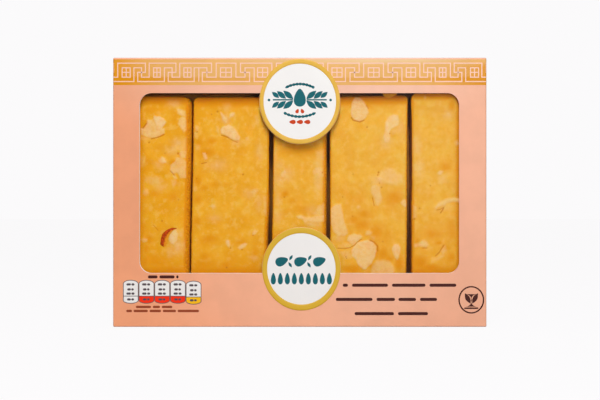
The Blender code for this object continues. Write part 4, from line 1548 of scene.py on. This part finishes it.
# Place and half-size in pixels, and how dark the pooled glaze is. The long spot under the upper
# badge on slice_3 paints the badge's shadow, and the two low on slice_5 deepen the painted shade
# at the window's foot
POOLS_AND_SHADOW = {
    "slice_1": ((160, 147, 9, 5, 0.25), (150, 110, 12, 5, 0.3), (158, 262, 18, 9, 0.4),
                (149, 239, 6, 5, 0.45), (174, 163, 6, 3, 0.6), (145, 262, 6, 8, 0.45),
                (166, 238, 3, 5, 0.9), (150, 162, 7, 4, 0.35), (174, 197, 5, 5, 0.4),
                (154, 194, 6, 4, 0.35), (176, 183, 4, 4, 0.3), (146, 249, 5, 5, 0.35)),
    "slice_2": ((215, 185, 8, 4, 0.3), (208, 265, 16, 8, 0.35), (255, 268, 10, 6, 0.4),
                (198, 181, 4, 6, 0.5), (212, 141, 6, 4, 0.4), (206, 153, 8, 5, 0.45),
                (209, 239, 8, 5, 0.45), (197, 221, 4, 5, 0.4), (242, 243, 7, 4, 0.35),
                (197, 199, 5, 6, 0.4), (204, 188, 6, 4, 0.35), (199, 143, 4, 5, 0.4),
                (255, 254, 6, 5, 0.35), (226, 265, 7, 4, 0.45), (204, 257, 6, 5, 0.4)),
    "slice_3": ((285, 194, 4, 4, 0.45), (303, 209, 8, 5, 0.3), (292, 201, 5, 4, 0.3),
                (300, 150, 24, 7, 0.4)),
    "slice_4": ((394, 198, 9, 8, 0.4), (362, 225, 9, 6, 0.4), (339, 241, 5, 5, 0.2), (383, 254, 6, 8, 0.45),
                (352, 269, 12, 5, 0.5), (386, 235, 8, 6, 0.2), (351, 198, 14, 9, 0.16),
                (376, 232, 7, 9, 0.4), (354, 220, 6, 5, 0.35), (399, 264, 5, 9, 0.5),
                (360, 105, 10, 4, 0.8), (373, 266, 8, 4, 0.35), (376, 252, 5, 7, 0.45),
                (364, 214, 7, 5, 0.4), (389, 259, 6, 5, 0.4)),
    "slice_5": ((440, 211, 4, 3, 0.15), (446, 166, 8, 6, 0.3), (439, 243, 4, 2, 0.4),
                (430, 268, 16, 5, 0.55), (452, 232, 7, 14, 0.3), (420, 263, 8, 8, 0.6),
                (433, 234, 10, 5, 0.35), (452, 258, 5, 7, 0.4), (452, 104, 5, 8, 0.4),
                (417, 243, 4, 5, 0.4), (445, 247, 5, 4, 0.35)),
}
# Almond sunk so deep that only a pale spot shows: the same five numbers, with its paleness last
SUNKEN = {
    "slice_1": ((178, 246, 7, 7, 0.6), (178, 143, 6, 5, 0.5), (146, 138, 6, 3, 0.35),
                (172, 151, 7, 5, 0.35), (174, 104, 6, 4, 0.4), (161, 187, 6, 4, 0.35),
                (159, 165, 4, 4, 0.3)),
    "slice_2": ((237, 142, 6, 4, 0.35), (259, 203, 4, 8, 0.3), (217, 165, 10, 6, 0.4),
                (260, 153, 4, 9, 0.35), (226, 119, 4, 5, 0.6), (227, 108, 4, 4, 0.35),
                (250, 194, 6, 5, 0.35), (215, 218, 6, 4, 0.35)),
    "slice_3": ((280, 179, 6, 8, 0.4), (312, 210, 6, 5, 0.3), (318, 183, 4, 10, 0.5), (287, 174, 7, 8, 0.4),
                (278, 217, 4, 7, 0.35), (278, 200, 3, 9, 0.35), (279, 165, 5, 5, 0.3),
                (318, 164, 5, 6, 0.3)),
    "slice_4": ((340, 238, 5, 4, 0.4), (346, 245, 6, 3, 0.3), (386, 141, 5, 6, 0.5), (376, 181, 5, 5, 0.4),
                (400, 128, 4, 7, 0.4)),
    "slice_5": ((417, 146, 4, 9, 0.5), (419, 169, 5, 9, 0.5), (445, 208, 6, 4, 0.3), (447, 115, 5, 4, 0.4)),
}
for label, marks in (("creases", CREASES), ("pits", PITS), ("pools", POOLS_AND_SHADOW), ("sunken flakes", SUNKEN)):
    print(sum(len(rows) for rows in marks.values()), label)

# %% [markdown]
# ## Relief of the glaze
#
# A slice's front is one height for every point: the broad swell of the sponge, finer lumps on
# top, a low plateau for each flake, and grooves and pits cut into that. Each of these also leaves
# a share on the mesh, such as how much almond shows here, so that the finish can colour the same
# places. One function works out both.

# %% Distances to outlines and lines
def line_distance(points, across, up):
    """Distance of every point to a line of straight runs, in metres."""
    nearest = np.full(across.shape, 1.0)
    for (x0, z0), (x1, z1) in zip(points[:-1], points[1:]):
        run_x, run_z = x1 - x0, z1 - z0
        share = np.clip(((across - x0) * run_x + (up - z0) * run_z) / (run_x ** 2 + run_z ** 2), 0, 1)
        nearest = np.minimum(nearest, np.hypot(across - x0 - share * run_x, up - z0 - share * run_z))
    return nearest


def inside_distance(corners, across, up):
    """How far inside an outline each point lies, in metres, and below zero outside."""
    closed = list(corners) + [corners[0]]
    inside = np.zeros(across.shape, bool)
    for (x0, z0), (x1, z1) in zip(closed[:-1], closed[1:]):
        if z0 != z1:
            crosses = (up > min(z0, z1)) & (up <= max(z0, z1))
            inside ^= crosses & (across < x0 + (up - z0) * (x1 - x0) / (z1 - z0))
    distance = line_distance(closed, across, up)
    return np.where(inside, distance, -distance)


LOW_FLAKE = (10.0, 6.5)
LOW_FLAKE_LOOK = (0.8, 0.35, 0.8)
LOW_FLAKE_ASIDE = (0.4, 0.6)
LOW_FLAKE_UP = (9, 24)
FLAKE_TAPER = 0.28


def low_flakes():
    """The two flakes low on each slice, drawn in the same order as in the solids."""
    draw = random.Random(5)
    found = {}
    for name, shape in SLICES.items():
        left, right = shape.glazed
        found[name] = []
        for i in range(2):
            across = left + (right - left) * (i + draw.uniform(*LOW_FLAKE_ASIDE)) / 2
            up, turn = draw.uniform(*LOW_FLAKE_UP), draw.uniform(0, 180)
            length, width = (size * MM for size in LOW_FLAKE)
            outline = kernel((across * MM, up * MM), length, width, -turn, taper=FLAKE_TAPER, steps=14)
            found[name].append((*LOW_FLAKE_LOOK, outline))
    return found


slice_flakes = low_flakes()
for name, rows in FLAKES.items():
    slice_flakes[name] += [(*look, [on_cake(*p) for p in corners]) for *look, corners in rows]
print(sum(len(rows) for rows in slice_flakes.values()), "flakes on the slices")

# %% Relief and shares
# Depth and size in mm, and where in the noise it is read
SWELL = ((0.10, 4.6, 7.1), (0.035, 1.8, 2.3))
RAGGED = 0.32 * MM
RAGGED_SCALE = 2.1 * MM
# How an edge blurs and frays as it is less crisp, and how far a flake slopes down around it
SHARPEST, BLURRED_BY, RAGGED_BY = 0.4, 1.5, 1.6
FLAKE_SLOPE = 0.5 * MM
GROOVE_SHARE = 0.65
PIT_DEPTH = 0.16 * MM
LEANING_END = (2 * MM, 24 * MM)
# Painted shade: the crease share and the deep glaze near each slice's top end, along the window's sides and
# at its foot; then a deeper orange along the glaze's long edges
PAINTED_END_CREASE_REACH = (1 * MM, 6.5 * MM)
PAINTED_END_CREASE = 0.6
PAINTED_END_SHADE = 0.95
PAINTED_END_SHADE_FROM = 1 * MM
EDGE_DEEPENING = 0.8
EDGE_DEEPENING_REACH = 0.9 * MM
SHOWN_HALF_WIDTH = WINDOW_HALF_WIDTH * CAKE_MM_PER_PX / MM_PER_PX
SIDE_SHADE = 0.95
SIDE_SHADE_REACH = 1.5 * MM
FOOT_SHADE_REACH = 4.5 * MM


def spots(rows, across, up):
    """A share from soft oval spots in pixels, each as strong as its last number says."""
    share = np.zeros_like(across)
    for across_px, down_px, half_across, half_up, strength in rows:
        x, z = on_cake(across_px, down_px)
        reach_x, reach_z = half_across * CAKE_MM_PER_PX * MM, half_up * CAKE_MM_PER_PX * MM
        spot = np.exp(-(((across - x) / reach_x) ** 2 + ((up - z) / reach_z) ** 2))
        share = np.maximum(share, strength * spot)
    return share


def flake_relief(name, across, up):
    """The height that flakes add, and the share of almond that shows."""
    height, almond = np.zeros_like(across), spots(SUNKEN[name], across, up)
    ragged = RAGGED * noise_map(across, up, RAGGED_SCALE, 9.4)
    for pale, proud, crisp, corners in slice_flakes[name]:
        inside = inside_distance(corners, across, up) + ragged * (RAGGED_BY - crisp)
        blur = (SHARPEST + BLURRED_BY * (1 - crisp)) * MM
        almond = np.maximum(almond, pale * soft_step(inside, -blur, blur))
        height += proud * MM * soft_step(inside, -FLAKE_SLOPE - blur, FLAKE_SLOPE + blur)
    return height, almond


def groove_relief(name, across, up):
    """The height that creases and pits take away, and the share of crease that shows."""
    height, crease = np.zeros_like(across), np.zeros_like(across)
    for depth, half_width, line in CREASES.get(name, ()):
        distance = line_distance([on_cake(*p) for p in line], across, up)
        groove = np.exp(-((distance / (half_width * MM)) ** 2))
        height -= GROOVE_SHARE * depth * MM * groove
        crease = np.maximum(crease, groove * min(1.0, depth / 0.2))
    for across_px, down_px, radius in PITS[name]:
        x, z = on_cake(across_px, down_px)
        pit = np.exp(-(((across - x) ** 2 + (up - z) ** 2) / (radius * MM) ** 2))
        height -= PIT_DEPTH * pit
        crease = np.maximum(crease, pit)
    return height, crease


def shade_and_pool_share(name, shape, across, up):
    """Share of deep glaze: pools, some of them painted shadow, painted shade at the end and by the window,
    and deeper edges.
    """
    from_side = np.maximum(0, SHOWN_HALF_WIDTH - np.abs(across - WINDOW_ACROSS))
    from_foot = np.maximum(0, up - WINDOW_LOW)
    shares = [
        spots(POOLS_AND_SHADOW[name], across, up),
        # Painted shade at the top end of the slice, below the window's upper edge
        PAINTED_END_SHADE * (1 - soft_step(shape.top * MM - up, PAINTED_END_SHADE_FROM, shape.browned_to * MM)),
        # Painted shade along the window's sides and at its foot
        SIDE_SHADE * np.exp(-from_side / SIDE_SHADE_REACH),
        shape.foot_shade * np.exp(-from_foot / FOOT_SHADE_REACH),
    ]
    # A deeper orange along the glaze's long edges
    for edge in (0, 1):
        from_edge = np.abs(across - edge_line(shape, edge, up[:, 0])[:, None])
        shares.append(EDGE_DEEPENING * np.exp(-((from_edge / EDGE_DEEPENING_REACH) ** 2)))
    return np.maximum.reduce(shares)


def glaze_relief(name, shape, across, up):
    """Height of the glaze outwards, and shares of almond, crease with painted end shade, and deep glaze with
    painted shade.
    """
    from_end = shape.top * MM - up
    raised, almond = flake_relief(name, across, up)
    lowered, crease = groove_relief(name, across, up)
    height = CAKE_RELIEF * noise_map(across, up, RELIEF_SCALE) + raised + lowered
    for depth, size, seed in SWELL:
        height += depth * MM * noise_map(across, up, size * MM, seed)
    height += shape.leans_out * MM * (1 - soft_step(from_end, *LEANING_END))
    # Painted shade at the top end of the slice, laid into the crease share
    crease = np.maximum(crease, PAINTED_END_CREASE * (1 - soft_step(from_end, *PAINTED_END_CREASE_REACH)))
    return height, almond, crease, shade_and_pool_share(name, shape, across, up)


# %% Rows and columns of a slice
FINE_STEP = 0.45 * MM
COARSE_STEP = 3 * MM
SHOWN_FROM = 32 * MM
SIDE_STEPS = 12
SHOULDER_STEPS = 10
END_STEPS = 6
END_DRAWN_IN = 0.9
SIDE_DRAWN_BACK = 0.4
# How a shoulder falls away, and the share of it from which all is cut side
FALL_STRAIGHT, FALL_CURVED, FALL_POWER = 0.18, 0.82, 1.5
ALL_CUT_FROM = 0.2
HIGHER_UP = 22 * MM
TILTED_BETWEEN = (110 * MM, 145 * MM)
SIDE_CRUMB = 0.28 * MM
CRUMB_SIZE = 1.9 * MM


def corner_inset(radius, from_end):
    """How far an edge draws in at each height, so that the corner of the slice is round."""
    near = np.clip(radius - from_end, 0, radius)
    return radius - np.sqrt(radius ** 2 - near ** 2)


def row_heights(top):
    """Heights and insets of the rows: coarse where the board hides the cake, round at the end."""
    hidden = list(np.arange(CAKE_FOOT_Z + END_ROUND / 2, SHOWN_FROM, COARSE_STEP))
    shown = list(np.arange(SHOWN_FROM, top - END_ROUND, FINE_STEP))
    rows = [(CAKE_FOOT_Z, END_ROUND / 2)] + [(z, 0.0) for z in hidden + shown]
    for step in range(END_STEPS + 1):
        turn = math.radians(90 * step / END_STEPS)
        drawn_in = END_DRAWN_IN * END_ROUND * (1 - math.cos(turn))
        rows.append((top - END_ROUND + END_ROUND * math.sin(turn), drawn_in))
    return np.array(rows).T


def slice_columns(width):
    """Columns round a slice: the kind of place, the edge that it belongs to, and a share."""
    sides = [("side", i / SIDE_STEPS) for i in range(SIDE_STEPS)]
    shoulder = [("shoulder", 1 - i / SHOULDER_STEPS) for i in range(SHOULDER_STEPS + 1)]
    left = [(kind, 0, share) for kind, share in sides + shoulder]
    right = [(kind, 1, share) for kind, share in reversed(sides + shoulder)]
    count = round(width / FINE_STEP)
    return left + [("front", 0, i / count) for i in range(1, count)] + right


def slice_points(name, shape):
    """Arrays of points for a slice, with the shares that its finish needs."""
    top = shape.top * MM
    up, inset = row_heights(top)
    columns = slice_columns((shape.glazed[1] - shape.glazed[0]) * MM)
    across, depth, face_x, glazed, cut = (np.zeros((len(up), len(columns))) for _ in range(5))
    lines, flat_ends = [], []
    for edge, outward in ((0, -1), (1, 1)):
        drawn_in = inset + corner_inset(shape.corners[edge] * MM, top - up)
        lines.append(edge_line(shape, edge, up) - outward * drawn_in)
        flat_ends.append(lines[edge] + outward * shape.sides[edge].inner * MM)
    higher_up = soft_step(up, top / 2, top / 2 + HIGHER_UP)
    for k, (kind, edge, share) in enumerate(columns):
        outward, shoulder = 2 * edge - 1, shape.sides[edge]
        kept = 1 - (1 - shoulder.upper) * higher_up
        if kind == "side":
            lean_out = (shape.under[edge] - shape.glazed[edge]) * outward
            far_out = max(lean_out, shoulder.outer - SIDE_DRAWN_BACK)
            reach = far_out + (shoulder.outer - far_out) * share
            across[:, k] = lines[edge] + outward * kept * reach * MM
            depth[:, k] = CAKE_BACK_Y + (CAKE_TOP_Y + shoulder.deep * MM - CAKE_BACK_Y) * share
            face_x[:, k] = outward
            cut[:, k] = 1
        elif kind == "shoulder":
            turn = share * math.pi / 2
            reach = shoulder.inner + (shoulder.outer - shoulder.inner) * math.sin(turn)
            fall = FALL_STRAIGHT * math.sin(turn) + FALL_CURVED * (1 - math.cos(turn)) ** FALL_POWER
            across[:, k] = lines[edge] + outward * kept * reach * MM
            depth[:, k] = CAKE_TOP_Y + inset + shoulder.deep * MM * fall
            face_x[:, k] = outward * math.sin(turn)
            glazed[:, k] = math.cos(turn)
            cut[:, k] = min(1.0, share / ALL_CUT_FROM)
        else:
            across[:, k] = flat_ends[0] + (flat_ends[1] - flat_ends[0]) * share
            depth[:, k] = CAKE_TOP_Y + inset
            glazed[:, k] = 1
    up_map = np.repeat(up[:, None], len(columns), axis=1)
    height, almond, crease, pooled_and_shade = glaze_relief(name, shape, across, up_map)
    end_fade = np.clip(1 - inset / END_ROUND, 0, 1)[:, None]
    crumb = SIDE_CRUMB * noise_map(depth + across, up_map, CRUMB_SIZE, 5.5) * end_fade
    height = height * glazed * end_fade
    along_end = (across - lines[0][:, None]) / (lines[1] - lines[0])[:, None]
    lifted = shape.tilt * MM * along_end * soft_step(up_map, *TILTED_BETWEEN)
    points = np.stack([across + face_x * (height + crumb), depth - height, up_map + lifted], axis=-1)
    return points, {"almond": almond * (1 - cut), "crease": crease * (1 - cut), "pooled_and_shade": pooled_and_shade, "cut": cut}


# %% [markdown]
# ## The finish of the cake
#
# Baked glaze is never one colour, but its changes are soft: broad clouds of deeper and lighter
# gold about a centimetre across, a faint mottling of a few millimetres, and fine specks. Almond
# under the glaze is paler and less yellow, and the grooves, where glaze pools, are a deep orange
# that also paints shade into them. Light enters the glaze and spreads in it before it comes back,
# red furthest and blue least. That is part of why the shade at the window's edge is a warm orange
# and not grey, so subsurface scattering with a red reach of a few millimetres matters more here
# than any bump; the rest is painted shade in the glaze's colour, at each slice's top end and along
# the window's sides and foot. A painted sheen makes the glaze paler to the right and higher up.
# The cut sides are the same cake without glaze: rougher, and a deeper orange-brown.

# %% Glazed cake
GLAZE = srgb(248, 181, 42)
GLAZE_DEEP = srgb(241, 167, 12)
GLAZE_PALE_AND_SHEEN = srgb(251, 200, 96)
ALMOND_PALE = srgb(252, 210, 150)
POOL_AND_SHADE_ORANGE = srgb(234, 142, 0)
CREASED = srgb(206, 112, 4)
CUT_SPONGE = srgb(238, 160, 8)
CUT_CRUST = srgb(206, 118, 0)
SCATTER_REACH = 4.5 * MM
SCATTER_BY_COLOUR = (1.0, 0.34, 0.06)
GLAZE_BUMP = 0.03 * MM


def own_share(tree, name):
    """Reads a share that is stored on the mesh."""
    reader = tree.nodes.new("ShaderNodeAttribute")
    reader.attribute_name = name
    return reader.outputs["Fac"]


def cake_colour(tree, place, mottle, crumbs):
    """The layers of colour on the cake, each laid over the last by its own share."""
    clouds = ranged(tree, grain(tree, place, 12 * MM), 0.3, 0.7)
    specks = grain(tree, place, 1.1 * MM, detail=3.0, roughness=0.7)
    flake_grain = ranged(tree, grain(tree, place, 2.6 * MM, detail=4.0, roughness=0.7), 0.35, 0.65, 1.0, 0.6)
    across, up = across_and_up(tree, place)
    sheen_rightward = ranged(tree, across, -0.92 * HALF_WIDTH, 0.92 * HALF_WIDTH, 0.03, 0.46)
    pooled_and_shade, crease = own_share(tree, "pooled_and_shade"), own_share(tree, "crease")
    colour = blend(tree, clouds, GLAZE_DEEP, GLAZE)
    layers = (
        (ranged(tree, mottle, 0.5, 1.0, 0, 0.45), GLAZE_PALE_AND_SHEEN),
        # Painted sheen: the glaze is paler to the right and higher up
        (maths(tree, "MULTIPLY", sheen_rightward, ranged(tree, up, 40 * MM, 95 * MM, 0.6, 1.0)), GLAZE_PALE_AND_SHEEN),
        (ranged(tree, mottle, 0.0, 0.4, 0.35, 0), GLAZE_DEEP),
        (ranged(tree, specks, 0.6, 0.8, 0, 0.3), POOL_AND_SHADE_ORANGE),
        # Pooled glaze, and painted shade at each slice's top end and by the window's edges
        (ranged(tree, pooled_and_shade, 0.0, 0.55), GLAZE_DEEP),
        (pooled_and_shade, POOL_AND_SHADE_ORANGE),
        (maths(tree, "MULTIPLY", own_share(tree, "almond"), flake_grain), ALMOND_PALE),
        # Grooves and pits: pooled glaze with painted shade in them, and painted shade at each top end
        (ranged(tree, crease, 0.1, 1.0, 0, 0.75), CREASED),
        (own_share(tree, "cut"), blend(tree, ranged(tree, crumbs, 0.35, 0.65), CUT_CRUST, CUT_SPONGE)),
    )
    for share, layer in layers:
        colour = blend(tree, share, colour, layer)
    return colour


def cake_finish(name):
    """Glaze over sponge, in which light spreads a few millimetres, red furthest."""
    finish, tree, shader, place = start_finish(name)
    mottle = ranged(tree, grain(tree, place, 4.5 * MM, detail=3.0, roughness=0.6), 0.3, 0.7)
    crumbs = grain(tree, place, 1.2 * MM, detail=4.0, roughness=0.7)
    fill_inputs(tree, shader, {
        "Base Color": cake_colour(tree, place, mottle, crumbs),
        "Roughness": ranged(tree, mottle, 0, 1, 0.5, 0.4),
        "Specular IOR Level": 0.04,
        "Subsurface Weight": 0.5,
        "Subsurface Radius": SCATTER_BY_COLOUR,
        "Subsurface Scale": SCATTER_REACH,
        "Normal": bumped(tree, mottle, GLAZE_BUMP, Normal=bumped(tree, crumbs, GLAZE_BUMP)),
    })
    return finish


glazed_cake = cake_finish("glazed_cake")


# %% Build the slices
def tube_mesh(name, points, shares):
    """Joins rings of points into a closed mesh that keeps its shares."""
    rows, columns, _ = points.shape
    faces = []
    for j in range(rows - 1):
        for k in range(columns):
            m = (k + 1) % columns
            low, high = j * columns, (j + 1) * columns
            faces.append((low + k, low + m, high + m, high + k))
    faces.append(tuple(reversed(range(columns))))
    faces.append(tuple((rows - 1) * columns + k for k in range(columns)))
    mesh = bpy.data.meshes.new(name)
    mesh.from_pydata(points.reshape(-1, 3).tolist(), [], faces)
    for label, values in shares.items():
        mesh.attributes.new(label, "FLOAT", "POINT").data.foreach_set("value", values.ravel())
    mesh.polygons.foreach_set("use_smooth", [True] * (len(faces) - 2) + [False] * 2)
    builder = bmesh.new()
    builder.from_mesh(mesh)
    bmesh.ops.recalc_face_normals(builder, faces=builder.faces)
    builder.to_mesh(mesh)
    builder.free()
    return mesh


for name, shape in SLICES.items():
    points, shares = slice_points(name, shape)
    add_piece(f"cake_{name}", tube_mesh(name, points, shares), (glazed_cake,), (name,))

# %% [markdown]
# ## Two almonds that stand out
#
# Low on the first slice, half an almond stands on its edge with its brown skin still on. It is
# the darkest thing on the cake, so it is a piece of its own: a crescent that rises steeply at
# the outer side, where the skin is, and falls slowly to the flesh. Its skin is finely wrinkled.
# High on the fourth slice, one flake hangs over the end and bridges the dark gap.

# %% Almond with its skin
SKIN_OUTER = ((160.3, 244.5), (160.9, 238.5), (162.5, 234), (165.2, 231), (168.5, 229), (172.5, 227.6),
              (177, 228))
SKIN_INNER = ((165.6, 248.8), (167.4, 243.5), (168.9, 239), (170.4, 235.5), (172.3, 232.5), (174.4, 230.4),
              (177.3, 228.9))
SKIN_STEPS = (36, 12)
SKIN_RISE = 1.0 * MM
SKIN_SINK = 0.6 * MM
SKIN_STEEP = 0.6
FLESH_FROM = (0.5, 0.64)
WRINKLE = 0.07 * MM
WRINKLE_SIZE = 0.9 * MM
SKIN_DARK = srgb(158, 46, 0)
SKIN_BROWN = srgb(222, 84, 4)
FLESH_DEEP = srgb(234, 140, 10)
FLESH_PALE = srgb(246, 164, 30)
END_FLAKE = ((380.5, 91), (397, 91), (396.5, 95), (391, 97.5), (388, 98.2), (384.5, 97), (382.5, 94))
END_FLAKE_LIFT = 0.35 * MM


def along(line, share):
    """A point on a line of evenly counted points, as (across, up) in metres."""
    place = share * (len(line) - 1)
    across, down = (np.interp(place, range(len(line)), [point[i] for point in line]) for i in (0, 1))
    return on_cake(float(across), float(down))


def crescent_rings():
    """Rings along half an almond, steep at the outer side, that run back under the glaze."""
    long_steps, wide_steps = SKIN_STEPS
    shares = [j / wide_steps for j in range(wide_steps + 1)]
    points, skin = [], []
    for i in range(long_steps + 1):
        run = i / long_steps
        outer, inner = along(SKIN_OUTER, run), along(SKIN_INNER, run)
        for share, sunk in [(s, False) for s in shares] + [(s, True) for s in reversed(shares)]:
            x, z = (a + (b - a) * share for a, b in zip(outer, inner))
            rise = math.sin(math.pi * share ** SKIN_STEEP) * math.sin(math.pi * run) ** 0.5
            wrinkle = WRINKLE * noise.noise(Vector((x, 0, z)) / WRINKLE_SIZE)
            points.append((x, CAKE_TOP_Y + (SKIN_SINK if sunk else wrinkle - SKIN_RISE * rise), z))
            skin.append(1 - float(soft_step(share + 2 * wrinkle / MM, *FLESH_FROM)))
    rings = (long_steps + 1, 2 * (wide_steps + 1))
    return np.array(points).reshape(*rings, 3), {"skin": np.array(skin).reshape(rings)}


def skin_finish(name):
    """Finely wrinkled brown skin, and bare flesh where the almond is broken."""
    finish, tree, shader, place = start_finish(name)
    wrinkles = grain(tree, place, WRINKLE_SIZE, detail=4.0, roughness=0.7, distortion=0.4)
    share = ranged(tree, wrinkles, 0.35, 0.65)
    brown, flesh = blend(tree, share, SKIN_DARK, SKIN_BROWN), blend(tree, share, FLESH_DEEP, FLESH_PALE)
    fill_inputs(tree, shader, {
        "Base Color": blend(tree, own_share(tree, "skin"), flesh, brown),
        "Roughness": ranged(tree, wrinkles, 0.2, 0.8, 0.45, 0.6),
        "Specular IOR Level": 0.08,
        "Normal": bumped(tree, wrinkles, 0.05 * MM),
    })
    return finish


almond_skin = skin_finish("almond_skin")
crescent = tube_mesh("brown_almond", *crescent_rings())
add_piece("brown_almond", crescent, (almond_skin,))
flake_outline = [on_cake(*corner) for corner in END_FLAKE]
end_flake = plates("end_flake", [flake_outline], END_FLAKE_LIFT, face_y=CAKE_TOP_Y)
add_piece("end_flake", end_flake, (almond_skin,))
